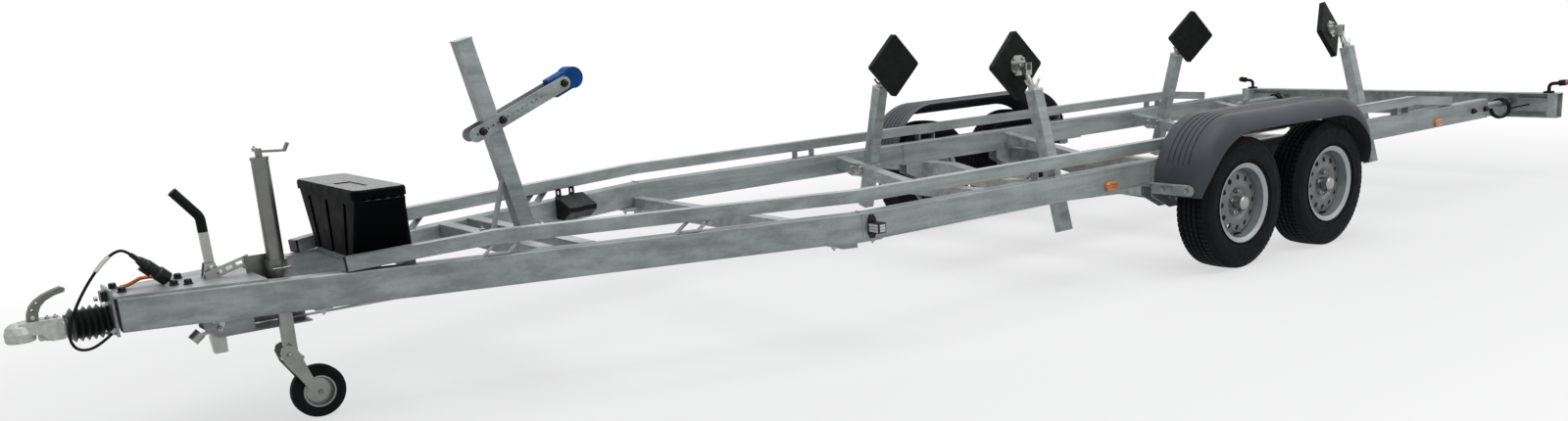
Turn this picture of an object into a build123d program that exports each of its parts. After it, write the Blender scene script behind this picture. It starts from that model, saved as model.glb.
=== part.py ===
from build123d import *
from math import atan2, cos, degrees, hypot, radians, sin, tan
import os

# Tandem-axle boat trailer, millimetres. +X forward to the coupling, +Y left,
# +Z up. The floor is z 0; x 0 and y 0 are the middle of length and width.

# ---- overall and rails -------------------------------------------------------
NOSE_X = 4270.0              # front of the coupling head
REAR_X = -4270.0             # back of the tail lamps
TOUCH = 0.3                  # running clearance left at a seat

RAIL_OUT = 938.0             # outer face of the main rails
RAIL_W = 60.0
RAIL_H = 120.0
RAIL_Z0 = 444.0
RAIL_Z1 = RAIL_Z0 + RAIL_H
RAIL_WALL = 4.0
RAIL_EDGE = 9.0              # rolled corners of the box section
RAIL_REAR_X = -3770.0
RAIL_IN = RAIL_OUT - RAIL_W
KINK_X = 1360.0              # where rail and drawbar leg meet
LEG_FRONT_X = 3935.0
LEG_FRONT_OUT = 105.0
LEG_SLOPE = (RAIL_OUT - LEG_FRONT_OUT) / (LEG_FRONT_X - KINK_X)
LEG_TURN = degrees(atan2(RAIL_OUT - LEG_FRONT_OUT, LEG_FRONT_X - KINK_X))
LEG_WY = RAIL_W / cos(radians(LEG_TURN))      # leg width measured along Y
TUBE_WALL = 4.0              # wall of every cross tube and stub

SIDE_W = 50.0                # upper side rails, square tube
SIDE_Z1 = 656.0
SIDE_Z0 = SIDE_Z1 - SIDE_W
SIDE_FRONT_X = 3225.0
SIDE_BEND_X = 2730.0
SIDE_REAR_BEND_X = -2900.0
SIDE_REAR_X = -3320.0
SIDE_FOOT = 2.0              # gap over the main rail at both ends
STUB_LONG = 120.0
STUB_FACE = 46.0             # stub width across the rail
# stations of the open stubs that carry the upper rails
LEG_STUBS = (2733.0, 2040.0)
LEG_STUB_LONG = 90.0
LEG_STUB_LEAN = 50.0         # how far a leg stub's top lies behind its foot
RAIL_STUBS = (275.0, -640.0, -1740.0, -2760.0)

# ---- axles and wheels ----------------------------------------------------------
AXLE_F_X = -820.0
AXLE_GAP = 745.0
AXLE_R_X = AXLE_F_X - AXLE_GAP
AXLE_MID_X = (AXLE_F_X + AXLE_R_X) / 2
TYRE_R = 326.0
TYRE_W = 190.0
WHEEL_Y = RAIL_OUT + 192.0   # middle plane of the tyre
HUB_Z = TYRE_R
RIM_R = 195.5                # flange
BARREL_R = 176.0
RIM_W = 170.0
RIM_STEEL = 4.0
BEAD_W = 75.0                # half width of the barrel between the beads
RIM_OFFSET = 30.0            # wheel disc outboard of the middle plane
STUB_R = 20.0
BEARING = 0.05               # radial clearance of the hub on its stub
DRUM_R = 125.0
HAND_HOLES = 12
HAND_HOLE_R = 14.0
HAND_HOLE_PCR = 125.0
CARRIER_X1 = -430.0
CARRIER_X0 = -1980.0
CARRIER_T = 6.0
CARRIER_Z1 = 549.0
BEAM_AHEAD = 200.0           # axle tube ahead of its hubs
TUBE_S = 80.0
TUBE_TOP = RAIL_Z0 - CARRIER_T
TUBE_END = RAIL_OUT + 22.0
TUBE_DROP = 60.0             # how far the middle of the axle tube drops
ARM_Y0 = TUBE_END + 28.0
ARM_Y1 = ARM_Y0 + 24.0

# ---- fenders -------------------------------------------------------------------
FEND_HALF = AXLE_GAP / 2 + TYRE_R + 35.5      # from the middle to each end
FEND_Z0 = 395.0
FEND_Z1 = 766.0
FEND_R = 300.0
FEND_Y0 = RAIL_OUT + 22.0
FEND_Y1 = WHEEL_Y + 135.0
FEND_T = 4.0
FEND_CROWN = 84.0
LIP_R = 356.0
GROOVE_Z0 = 550.0            # lower end of the pressed grooves
GROOVE_W = 10.0
GROOVE_D = 4.0
GROOVES_Y = tuple(WHEEL_Y + step for step in (-105.0, -74.0, -43.0, -13.0, 18.0))

# ---- cross-members and keel plank ------------------------------------------------
KINK_X0, KINK_X1 = 1345.0, 1405.0
KINK_Z0, KINK_Z1 = 412.0, 492.0
DROP_W = 70.0
DROP_H = 60.0
DROP_TOP = 438.0             # top of the flat middle, under the keel plank
DROP_END_Z = 540.0           # top where the arm meets the rail
DROP_FLAT = 260.0            # half length of the flat middle
DROPS_X = (35.0, -1300.0, -2535.0, -3440.0)
PLANK_X0, PLANK_X1 = -2860.0, 125.0
PLANK_Y = 90.0
PLANK_T = 32.0

# ---- pads --------------------------------------------------------------------------
POST_W = 60.0
POST_LEAN = 15.0
POST_LOW = (750.0, 280.0)    # a point of the post's middle line, y and z
POST_Z0, POST_Z1 = 262.0, 925.0
PAD_S = 240.0
PAD_T = 30.0
PAD_BACK = 42.0              # back of the pad inboard of its pivot
PIVOT = (512.0, 1050.0)      # pad pivot, y and z
PIN_R = 5.0
SPINDLE_R = 11.0
POST_FRONT_X = DROPS_X[0] - (DROP_W + POST_W) / 2     # each pair stands behind its cross-member
POST_REAR_X = DROPS_X[2] - (DROP_W + POST_W) / 2
# name, station, side, tilt and forward turn of the pad in degrees, post set outward and up
PADS = (("front_left", POST_FRONT_X, 1, 3.0, 0.0, 0.0, 0.0),
        ("front_right", POST_FRONT_X, -1, 3.0, 0.0, 0.0, 0.0),
        ("rear_left", POST_REAR_X, 1, 14.0, 15.0, 80.0, 32.0),
        ("rear_right", POST_REAR_X, -1, 7.0, 15.0, 0.0, 0.0))

# ---- winch post, bow arm and bow stop ---------------------------------------------
WINCH_X = 2390.0             # middle of the post where it meets its foot
WP_S = 65.0
WP_LEAN = 13.0
WP_TOP = 1336.0
FOOT_T = 8.0
BRACE_X = WINCH_X + 150.0    # foot of the strip brace
BRACE_TOP_Z = 775.0
TIE_W = 60.0                 # square ties between the legs
BOW_FRONT = (WINCH_X + 204.0, 957.0)     # middle line of the bow arm, x and z
BOW_REAR = (WINCH_X - 250.0, 1150.0)
BOW_DEEP = 56.0
BOW_T = 6.0
BOW_HOLE_R = 5.5
STOP_R = 44.0

# ---- overrun device and coupling ---------------------------------------------------
DRAW_Z = 482.0
DRAW_R = 30.0
HOUSE_R = 37.5
HOUSE_X0, HOUSE_X1 = 3560.0, 3945.0
TOP_PLATE_X0 = 3480.0
TOP_PLATE_T = 8.0
DECK_Z = RAIL_Z1 + TOP_PLATE_T
BELLOWS_X1 = 4090.0
BELLOWS_R = 60.0
CONVOLUTIONS = 6
BALL_R = 25.1
CUP_R = 46.0
BALL_X = NOSE_X - CUP_R
BALL_Z = 478.0
CUP_Z0, CUP_Z1 = 456.0, 518.0

# ---- handbrake and brake linkage ----------------------------------------------------
HB_X = 3606.0
CHANNEL_X0, CHANNEL_X1 = 3290.0, 3665.0
CHANNEL_Y = -30.0            # middle plane of channel, lever and brake rod
CHANNEL_HALF = 45.0
CHANNEL_Z = 350.0
CHANNEL_T = 5.0
LEVER_X = 3618.0
BRAKE_ROD_Z = 368.0
BRAKE_ROD_R = 5.0

# ---- jockey wheel --------------------------------------------------------------------
JX = TOP_PLATE_X0 - 75.0     # axis of the leg, behind the plate that carries it
JY = 85.0
J_R = 30.0
J_WALL = 4.0
J_TOP, J_LOW = 972.0, 450.0
STEM_R = J_R - J_WALL - BEARING
FORK_TOP = 250.0
JW_R = 100.0
JTRAIL = 75.0
FORK_Y = 39.0                # middle of each fork cheek from the leg's axis
FORK_T = 6.0

# ---- toolbox -------------------------------------------------------------------------
TB_X0, TB_X1 = 2979.0, 3179.0        # lid
TB_Y = 344.0
TB_Z0, TB_Z1, TB_LID = 591.0, 812.0, 847.0
TB_RIM = 8.0                 # lid overhang on the body
TB_WALL = 4.0
TB_BOTTOM_X0, TB_BOTTOM_X1 = 2965.0, 3171.0
TB_BOTTOM_FRONT, TB_BOTTOM_REAR = 225.0, 290.0
TB_CORNER = 25.0
LID_GAP = 0.5
HINGE_Y, HINGE_Z = 351.0, 805.0
HINGE_R = 5.0
TIE_H = 40.0                 # depth of the two toolbox ties

# ---- wheel chocks ------------------------------------------------------------------------
CHOCKS_X = (1874.0, 1792.0)
CHOCK_SET = 8.0              # how far the holder reaches into the leg's line

# ---- rear light beam --------------------------------------------------------------------
BEAM_X1 = -4180.0            # open front edge
LAMP_OUT = 12.0              # tail lamps stand proud of the beam
BEAM_X0 = REAR_X + LAMP_OUT
BEAM_Y = RAIL_OUT + 242.0
BEAM_Z0, BEAM_Z1 = 408.0, 564.0
BEAM_T = 4.0
PULL_Z, PULL_R = 500.0, 21.0
PULL_Y = RAIL_IN - PULL_R - 11.0
PULL_FRONT_X = -3500.0
COIL_R, COIL_WIRE, COIL_TURNS = 60.0, 7.0, 3


def leg_out(x):
    "Outer face of the drawbar leg at station x."
    return LEG_FRONT_OUT + (LEG_FRONT_X - x) * LEG_SLOPE


def leg_in(x):
    return leg_out(x) - LEG_WY


# ---- shapes -----------------------------------------------------------------------
def block(x0, x1, y0, y1, z0, z1):
    return Pos((x0 + x1) / 2, (y0 + y1) / 2, (z0 + z1) / 2) * Box(
        abs(x1 - x0), abs(y1 - y0), abs(z1 - z0))


def rod(a, b, r):
    "Round bar from point a to point b."
    a, b = Vector(*a), Vector(*b)
    d = b - a
    return Plane(origin=a, z_dir=d) * (Pos(0, 0, d.length / 2) * Cylinder(r, d.length))


def pipe(a, b, r, hole):
    return rod(a, b, r) - rod(a, b, hole)


def bar(a, b, w, h, x_dir=(0, 1, 0)):
    "Rectangular bar from a to b; w lies along x_dir."
    a, b = Vector(*a), Vector(*b)
    d = b - a
    return Plane(origin=a, x_dir=x_dir, z_dir=d) * (Pos(0, 0, d.length / 2) * Box(w, h, d.length))


def disc(x, y0, y1, z, r):
    "Round slab about a cross axis."
    return Pos(x, (y0 + y1) / 2, z) * Rot(90, 0, 0) * Cylinder(r, abs(y1 - y0))


def post(x, y, z0, z1, r):
    "Round slab about an upright axis."
    return Pos(x, y, (z0 + z1) / 2) * Cylinder(r, z1 - z0)


def side_face(points, y0, y1):
    "Side-view outline (x, z) run across from y0 to y1."
    f = make_face(Polyline(*[(x, 0, z) for x, z in points], close=True))
    return Pos(0, y1, 0) * extrude(f, amount=abs(y1 - y0), dir=(0, -1, 0))


def cross_face(points, x0, x1):
    "Front-view outline (y, z) run along from x0 to x1."
    f = make_face(Polyline(*[(0, y, z) for y, z in points], close=True))
    return Pos(x0, 0, 0) * extrude(f, amount=x1 - x0, dir=(1, 0, 0))


def plan_face(points, z0, z1):
    "Plan outline (x, y) run up from z0 to z1."
    f = make_face(Polyline(*[(x, y, 0) for x, y in points], close=True))
    return Pos(0, 0, z0) * extrude(f, amount=z1 - z0, dir=(0, 0, 1))


def ring(points, at):
    "Outline (radius, y from the middle plane) turned about a cross axis."
    f = make_face(Polyline(*[(r, y, 0) for r, y in points], close=True))
    return at * revolve(f, axis=Axis.Y)


def turned(points, at):
    "Outline (radius, height) turned about the upright axis of at."
    f = make_face(Polyline(*[(r, 0, h) for r, h in points], close=True))
    return at * revolve(f, axis=Axis.Z)


def hose(points, radii, r):
    "Round run through the points, its corners turned at the radii."
    path = FilletPolyline(*points, radius=radii)
    return sweep(Plane(origin=path @ 0, z_dir=path % 0) * Circle(r), path=path)


def both(shape):
    return mirror(shape, Plane.XZ)


def one(shapes):
    s = None
    for t in shapes:
        s = t if s is None else s + t
    return s


NODES = {}


def save(name, *shapes):
    "Adds shapes to a node; like pieces on one body share a node."
    for s in shapes:
        NODES.setdefault(name, []).extend(s.solids())


def pair(stem, shape):
    "A node for each side."
    save(stem + "_left", shape)
    save(stem + "_right", both(shape))


def twins(name, shape):
    "The piece and its mirror image in one node."
    save(name, shape, both(shape))


# ---- main rails and drawbar legs -----------------------------------------------------
def long_rail(outline, hollow):
    s = plan_face(outline, RAIL_Z0, RAIL_Z1)
    s = fillet([e for e in s.edges() if e.length > 1500], RAIL_EDGE)
    return s - plan_face(hollow, RAIL_Z0 + RAIL_WALL, RAIL_Z1 - RAIL_WALL)


def main_rails():
    "Straight rail and drawbar leg, mitred and welded at the kink."
    t, past = RAIL_WALL, 10.0
    mitre = tan(radians(LEG_TURN / 2))
    in_x = KINK_X - RAIL_W * mitre
    hollow_out = KINK_X - t * mitre
    hollow_in = KINK_X - (RAIL_W - t) * mitre
    t_leg = t / cos(radians(LEG_TURN))
    rail = long_rail(
        [(RAIL_REAR_X, RAIL_OUT), (KINK_X, RAIL_OUT), (in_x, RAIL_IN), (RAIL_REAR_X, RAIL_IN)],
        [(RAIL_REAR_X - past, RAIL_OUT - t), (hollow_out + past, RAIL_OUT - t),
         (hollow_in + past, RAIL_IN + t), (RAIL_REAR_X - past, RAIL_IN + t)])
    front, back_out, back_in = LEG_FRONT_X + past, hollow_out - past, hollow_in - past
    leg = long_rail(
        [(KINK_X, RAIL_OUT), (LEG_FRONT_X, LEG_FRONT_OUT),
         (LEG_FRONT_X, LEG_FRONT_OUT - LEG_WY), (in_x, RAIL_IN)],
        [(back_out, leg_out(back_out) - t_leg), (front, leg_out(front) - t_leg),
         (front, leg_in(front) + t_leg), (back_in, leg_in(back_in) + t_leg)])
    pair("main_rail", rail + leg)
    plug_in = t + TOUCH
    twins("end_caps", block(RAIL_REAR_X - 4, RAIL_REAR_X, RAIL_IN + 1, RAIL_OUT - 1, RAIL_Z0 + 1, RAIL_Z1 - 1)
          + block(RAIL_REAR_X, RAIL_REAR_X + 20, RAIL_IN + plug_in, RAIL_OUT - plug_in,
                  RAIL_Z0 + plug_in, RAIL_Z1 - plug_in))


def axle_carriers():
    "Channels pressed over the rails from below, with the axle brackets."
    y0, y1 = RAIL_IN - CARRIER_T, RAIL_OUT + CARRIER_T
    z0 = RAIL_Z0 - CARRIER_T
    s = block(CARRIER_X0, CARRIER_X1, y0, y1, z0, CARRIER_Z1)
    s = s - block(CARRIER_X0 - 1, CARRIER_X1 + 1, RAIL_IN, RAIL_OUT, RAIL_Z0, CARRIER_Z1 + 1)
    for hub_x in (AXLE_F_X, AXLE_R_X):
        x = hub_x + BEAM_AHEAD
        # Sloped cheek that boxes the axle tube in, on each side of the rail.
        cheek = [(x + 165, z0), (x + 165, z0 - 52), (x + 30, z0 - 122), (x - 65, z0 - 122), (x - 90, z0)]
        for face in (y0, y1 - CARRIER_T):
            s = s + side_face(cheek, face, face + CARRIER_T)
        half = TUBE_S / 2
        s = s - block(x - half, x + half, y0 - 1, y1 + 1, z0 - TUBE_S, z0)
    twins("axle_carriers", s)


# ---- cross-members ------------------------------------------------------------------
def leg_tie(x, wide, z0, z1):
    "Hollow tie between the inner faces of the two legs."
    x0, x1, t = x - wide / 2, x + wide / 2, TUBE_WALL
    s = plan_face([(x0, -leg_in(x0)), (x0, leg_in(x0)), (x1, leg_in(x1)), (x1, -leg_in(x1))], z0, z1)
    reach = leg_in(x1) - 15
    return s - block(x0 + t, x1 - t, -reach, reach, z0 + t, z1 - t)


def cross_members():
    mitre_x = KINK_X - RAIL_W * tan(radians(LEG_TURN / 2))
    y0, y1 = min(leg_in(KINK_X0), RAIL_IN), min(leg_in(KINK_X1), RAIL_IN)
    half = [(KINK_X0, y0), (mitre_x, RAIL_IN), (KINK_X1, y1)]
    s = plan_face(half + [(x, -y) for x, y in reversed(half)], KINK_Z0, KINK_Z1)
    t = TUBE_WALL
    s = s - block(KINK_X0 + t, KINK_X1 - t, -740, 740, KINK_Z0 + t, KINK_Z1 - t)
    # Flange plates with rounded noses under the rails.
    foot = plan_face([(1225, 800), (1245, 780), (1460, 780), (1480, 800), (1480, 880), (1460, 900),
                      (1245, 915), (1225, 900)], RAIL_Z0 - 8, RAIL_Z0)
    save("crossmember_kink", s + foot + both(foot))
    for x in DROPS_X:
        y_end = RAIL_IN - (CARRIER_T if CARRIER_X0 < x < CARRIER_X1 else 0)
        top = [(-y_end, DROP_END_Z), (-DROP_FLAT, DROP_TOP), (DROP_FLAT, DROP_TOP), (y_end, DROP_END_Z)]
        low = [(y_end, DROP_END_Z - DROP_H), (DROP_FLAT + 8, DROP_TOP - DROP_H),
               (-DROP_FLAT - 8, DROP_TOP - DROP_H), (-y_end, DROP_END_Z - DROP_H)]
        save("dropped_crossmembers", cross_face(top + low, x - DROP_W / 2, x + DROP_W / 2))
    for x in (WINCH_X, BRACE_X):
        save("drawbar_ties", leg_tie(x, TIE_W, RAIL_Z1 - TIE_W, RAIL_Z1))
    for x in (TB_BOTTOM_X0 + 45, TB_BOTTOM_X1 - 45):
        save("drawbar_ties", leg_tie(x, 40, TB_Z0 - TIE_H, TB_Z0))
    save("keel_plank", block(PLANK_X0, PLANK_X1, -PLANK_Y, PLANK_Y, DROP_TOP, DROP_TOP + PLANK_T))


# ---- upper side rails -----------------------------------------------------------------
def side_y(x):
    "Middle line of the upper side rail at station x."
    return (RAIL_OUT if x < KINK_X else leg_out(x)) - SIDE_W / 2


def open_stub(long, lean):
    "Short open tube between main rail and upper rail, with its top set back by lean."
    def outline(inset):
        corners = []
        for z in (RAIL_Z1 + inset, SIDE_Z0 - inset):
            back = lean * (z - RAIL_Z1) / (SIDE_Z0 - RAIL_Z1)
            corners.append([(long / 2 - inset - back, z), (inset - long / 2 - back, z)])
        return corners[0] + corners[1][::-1]
    half = STUB_FACE / 2
    return side_face(outline(0), -half, half) - side_face(outline(TUBE_WALL), -half - 1, half + 1)


def side_rails():
    "Square tube bent down on to the main rail at both ends, on open stubs."
    high, low = (SIDE_Z0 + SIDE_Z1) / 2, RAIL_Z1 + SIDE_FOOT + SIDE_W / 2
    stations = [(SIDE_FRONT_X, low), (SIDE_BEND_X, high), (KINK_X, high),
                (SIDE_REAR_BEND_X, high), (SIDE_REAR_X, low)]
    pts = [(x, side_y(x), z) for x, z in stations]
    back = Vector(*pts[0]) - Vector(*pts[1])
    section = Plane(origin=pts[0], z_dir=-back, x_dir=(0, 0, 1)) * Rectangle(SIDE_W, SIDE_W)
    s = sweep(section, path=Polyline(*pts), transition=Transition.RIGHT)
    # station, length, lean and turn of each stub
    stubs = [(x, STUB_LONG, 0.0, 0.0) for x in RAIL_STUBS] + [(x, LEG_STUB_LONG, LEG_STUB_LEAN, -LEG_TURN)
                                                              for x in LEG_STUBS]
    for x, long, lean, turn in stubs:
        s = s + Pos(x, side_y(x), 0) * Rot(0, 0, turn) * open_stub(long, lean)
    pair("side_rail", s)
    cap = Plane(origin=pts[0], z_dir=back, x_dir=(0, 0, 1)) * (Pos(0, 0, 4) * Box(SIDE_W - 2, SIDE_W - 2, 8))
    twins("end_caps", cap)


# ---- axles ------------------------------------------------------------------------------
def axles():
    half = TUBE_S / 2
    for hub_x in (AXLE_F_X, AXLE_R_X):
        x, zt = hub_x + BEAM_AHEAD, TUBE_TOP
        bend, flat = 650, 300
        top = [(-TUBE_END, zt), (-bend, zt), (-flat, zt - TUBE_DROP), (flat, zt - TUBE_DROP), (bend, zt),
               (TUBE_END, zt)]
        low = [(y * (1 if abs(y) == TUBE_END else 0.97), z - TUBE_S) for y, z in reversed(top)]
        save("axle_tubes", cross_face(top + low, x - half, x + half))
        arm = side_face([(x + 45, zt - TUBE_S), (x + 45, zt), (x - 40, zt), (hub_x - 45, HUB_Z + 45),
                         (hub_x - 45, HUB_Z - 45), (hub_x + 30, HUB_Z - 50)], ARM_Y0, ARM_Y1)
        boss = disc(x, TUBE_END, ARM_Y0, zt - half, 34)
        plate = disc(hub_x, ARM_Y1, ARM_Y1 + 5, HUB_Z, DRUM_R + 4)
        stub = disc(hub_x, ARM_Y1 + 5, WHEEL_Y + 10, HUB_Z, STUB_R)
        twins("swing_arms", one([arm, boss, plate, stub]))


def brake_cables():
    "Conduits from the back of each axle tube to the brake back plates."
    for hub_x in (AXLE_F_X, AXLE_R_X):
        x, z = hub_x + BEAM_AHEAD - TUBE_S / 2, TUBE_TOP - TUBE_DROP - TUBE_S / 2
        pts = [(x, 240, z), (x - 60, 240, z), (hub_x + 30, 420, z - 14), (hub_x - 10, 700, z - 36),
               (hub_x - 60, 900, 252), (hub_x - 60, ARM_Y1, 252)]
        twins("brake_cables", hose(pts, [45, 90, 200, 90], 5))


# ---- road wheels ---------------------------------------------------------------------------
def tyre_outline():
    half, seat = TYRE_W / 2, BARREL_R + TOUCH
    right = [(seat, BEAD_W - 0.5), (RIM_R + 2, BEAD_W - 0.5), (RIM_R + 12, 88), (245, half), (298, 86),
             (TYRE_R, 62)]
    return [(r, -y) for r, y in right] + [(r, y) for r, y in reversed(right)]


def wheel(hub_x, sy):
    at = Pos(hub_x, sy * WHEEL_Y, HUB_Z)
    half, t, o = RIM_W / 2, RIM_STEEL, RIM_OFFSET
    rim = ring([(RIM_R, -half), (BARREL_R + 2, -BEAD_W), (BARREL_R, -BEAD_W), (BARREL_R, BEAD_W),
                (BARREL_R + 2, BEAD_W), (RIM_R, half), (RIM_R - t, half), (BARREL_R - t, BEAD_W),
                (BARREL_R - t, -BEAD_W), (RIM_R - t, -half)], at)
    # Pressed disc: flange to the barrel, raised ring, and the seat of the nuts.
    disc_out = [(32, o), (150, o), (BARREL_R - 3, o - 22), (BARREL_R - 3, o - 14), (150, o + 8),
                (85, o + 22), (60, o + 8), (32, o + 8)]
    rim = rim + ring([(r, sy * y) for r, y in disc_out], at)
    for k in range(HAND_HOLES):
        hole = Pos(HAND_HOLE_PCR, sy * o, 0) * Rot(90, 0, 0) * Cylinder(HAND_HOLE_R, 90)
        rim = rim - at * (Rot(0, k * 360 / HAND_HOLES, 0) * hole)
    back, face = sy * (ARM_Y1 + 10), sy * (WHEEL_Y + o)
    hub = one([disc(hub_x, back, face, HUB_Z, 60), disc(hub_x, back, back + sy * 60, HUB_Z, DRUM_R),
               disc(hub_x, face, face + sy * 34, HUB_Z, 31)])
    hub = hub - disc(hub_x, back - sy, sy * (WHEEL_Y + 14), HUB_Z, STUB_R + BEARING)
    return ring(tyre_outline(), at), rim + hub


def wheels():
    for end, hub_x in (("front", AXLE_F_X), ("rear", AXLE_R_X)):
        for side, sy in (("left", 1), ("right", -1)):
            tyre, rim = wheel(hub_x, sy)
            save(f"tyre_{end}_{side}", tyre)
            save(f"rim_{end}_{side}", rim)


# ---- fenders ---------------------------------------------------------------------------------
def arch(inset, y0, y1, z_low=FEND_Z0):
    "Long arch over both wheels, drawn in by inset."
    half, z_top, r = FEND_HALF - inset, FEND_Z1 - inset, FEND_R - inset
    with BuildPart() as p:
        with BuildSketch(Plane(origin=(AXLE_MID_X, y1, 0), x_dir=(1, 0, 0), z_dir=(0, -1, 0))):
            with BuildLine():
                Line((-half, z_low), (-half, z_top - r))
                RadiusArc((-half, z_top - r), (-half + r, z_top), r)
                Line((-half + r, z_top), (half - r, z_top))
                RadiusArc((half - r, z_top), (half, z_top - r), r)
                Line((half, z_top - r), (half, z_low))
                Line((half, z_low), (-half, z_low))
            make_face()
        extrude(amount=y1 - y0)
    return p.part


def crowned(inset, y0, y1, z_low):
    s = arch(inset, y0, y1, z_low)
    outer_rim = [e for e in s.edges() if abs(e.center().Y - y1) < 1 and e.center().Z > z_low + 1]
    return fillet(outer_rim, FEND_CROWN - inset)


def groove_cut(depth, wide, z_low):
    "Everything outside the arch at the given depth, over each groove."
    x0, x1 = AXLE_MID_X - FEND_HALF - 20, AXLE_MID_X + FEND_HALF + 20
    slabs = one([block(x0, x1, y - wide / 2, y + wide / 2, z_low, FEND_Z1 + 20) for y in GROOVES_Y])
    return slabs - arch(depth, FEND_Y0 - 1, FEND_Y1 + 1)


def fenders():
    outer = crowned(0, FEND_Y0, FEND_Y1, FEND_Z0) - groove_cut(GROOVE_D, GROOVE_W, GROOVE_Z0)
    inner = crowned(FEND_T, FEND_Y0 - 10, FEND_Y1 - FEND_T, FEND_Z0 - 10)
    inner = inner - groove_cut(GROOVE_D + FEND_T, GROOVE_W + 2 * FEND_T, GROOVE_Z0 - FEND_T)
    y0, y1 = FEND_Y1 - FEND_CROWN - 1, FEND_Y1 + 20
    mouth = one([disc(AXLE_F_X, y0, y1, HUB_Z, LIP_R), disc(AXLE_R_X, y0, y1, HUB_Z, LIP_R),
                 block(AXLE_R_X, AXLE_F_X, y0, y1, HUB_Z, HUB_Z + LIP_R),
                 block(AXLE_R_X - LIP_R, AXLE_F_X + LIP_R, y0, y1, 200, HUB_Z)])
    pair("fender", (outer - inner) - mouth)


def rail_brackets():
    "Fender arms on the carriers and clamps for the tubes of the light beam."
    y0, z0, deep, reach = RAIL_OUT + CARRIER_T, 402.0, 50.0, WHEEL_Y + 60
    for sx in (1, -1):
        x = AXLE_MID_X + sx * FEND_HALF
        arm = block(x, x + sx * 6, y0, reach - deep / 2, z0, z0 + deep)
        arm = arm + Pos(x + sx * 3, reach - deep / 2, z0 + deep / 2) * Rot(0, 90, 0) * Cylinder(deep / 2, 6)
        arm = arm + block(x, x + sx * 30, y0, reach - deep / 2, z0 + deep, z0 + deep + 4)
        foot = block(x, x - sx * 70, y0, y0 + 6, z0, z0 + 138)
        twins("rail_brackets", arm + foot)
    for x in (-3590.0, -3730.0):
        s = block(x - 20, x + 20, PULL_Y - 30, RAIL_IN, PULL_Z - 30, PULL_Z + 30)
        twins("rail_brackets", s - rod((x - 30, PULL_Y, PULL_Z), (x + 30, PULL_Y, PULL_Z), PULL_R + 0.1))


# ---- pads --------------------------------------------------------------------------------------
def post_y(z):
    return POST_LOW[0] - (z - POST_LOW[1]) * tan(radians(POST_LEAN))


def pad_shape(sy, tilt):
    "Diamond rubber pad on its back plate, about the pivot."
    d = fillet((Rot(0, 45, 0) * Box(PAD_S, PAD_T, PAD_S)).edges().filter_by(Axis.Y), 14)
    d = Pos(0, -sy * (PAD_BACK + PAD_T / 2), 0) * d
    # Octagonal back plate.
    a, c = 48.0, 22.0
    corners = [(a, c), (c, a), (-c, a), (-a, c), (-a, -c), (-c, -a), (c, -a), (a, -c)]
    near, far = sorted((-sy * PAD_BACK, -sy * (PAD_BACK - 8)))
    plate = side_face(corners, near, far)
    lug = Pos(0, -sy * 17, 0) * Box(24, 36, 22)
    lug = lug - Rot(0, 90, 0) * Cylinder(PIN_R + BEARING, 40)
    return Rot(sy * tilt, 0, 0) * (d + plate + lug)


def pads():
    for name, x, sy, tilt, turn, out, up in PADS:
        at = Pos(0, sy * out, up)
        foot, head = (x, sy * post_y(POST_Z0), POST_Z0), (x, sy * post_y(POST_Z1), POST_Z1)
        sock = (x, sy * post_y(POST_Z1 - 180), POST_Z1 - 180)
        over = (x, sy * post_y(POST_Z1 + 5), POST_Z1 + 5)
        hollow = POST_W - 2 * TUBE_WALL
        tube = bar(foot, head, POST_W, POST_W, (1, 0, 0)) - bar(sock, over, hollow, hollow, (1, 0, 0))
        save("posts", at * tube)
        y, z = sy * PIVOT[0], PIVOT[1]
        heel = Vector(0, sy * 20, -40).rotate(Axis.Z, sy * turn)
        s = rod((x, sy * post_y(POST_Z1 - 150), POST_Z1 - 150), (x + heel.X, y + heel.Y, z + heel.Z), SPINDLE_R)
        cap_top = (x, sy * post_y(POST_Z1 + 10), POST_Z1 + 10)
        nut_top = (x, sy * post_y(POST_Z1 + 26), POST_Z1 + 26)
        s = s + bar(head, cap_top, POST_W + 2, POST_W + 2, (1, 0, 0)) + rod(cap_top, nut_top, 24)
        fork = block(-20, 20, sy * 6, sy * 34, -48, -24) + rod((-20, 0, 0), (20, 0, 0), PIN_R)
        for dx in (-20, 14):
            fork = fork + block(dx, dx + 6, -sy * 12, sy * 34, -26, 12)
        pivot = Pos(x, y, z) * Rot(0, 0, sy * turn)
        save("pad_spindles", at * (s + pivot * fork))
        save(f"pad_{name}", at * pivot * pad_shape(sy, tilt))


# ---- winch post, bow arm and bow stop -------------------------------------------------------
def winch_x(z):
    return WINCH_X + (z - RAIL_Z1) * tan(radians(WP_LEAN))


def winch_post():
    z0 = RAIL_Z1 + FOOT_T
    s = bar((winch_x(z0 - 30), 0, z0 - 30), (winch_x(WP_TOP), 0, WP_TOP), WP_S, WP_S)
    s = s - block(WINCH_X - 200, WINCH_X + 200, -100, 100, 400, RAIL_Z1)
    s = s + block(WINCH_X - 70, BRACE_X + 40, -60, 60, RAIL_Z1, z0)
    cap = (winch_x(WP_TOP + 5), 0, WP_TOP + 5)
    s = s + bar((winch_x(WP_TOP), 0, WP_TOP), cap, WP_S + 4, WP_S + 4)
    # Flat strip brace on the front face, its toe turned out on the foot plate.
    lean = WP_S / 2 / cos(radians(WP_LEAN))
    s = s + bar((winch_x(BRACE_TOP_Z) + lean - 4, 0, BRACE_TOP_Z), (BRACE_X - 8, 0, z0 + 3), 36, 8)
    s = s + block(BRACE_X - 20, BRACE_X + 34, -18, 18, z0, z0 + 8)
    save("winch_post", s)


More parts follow.
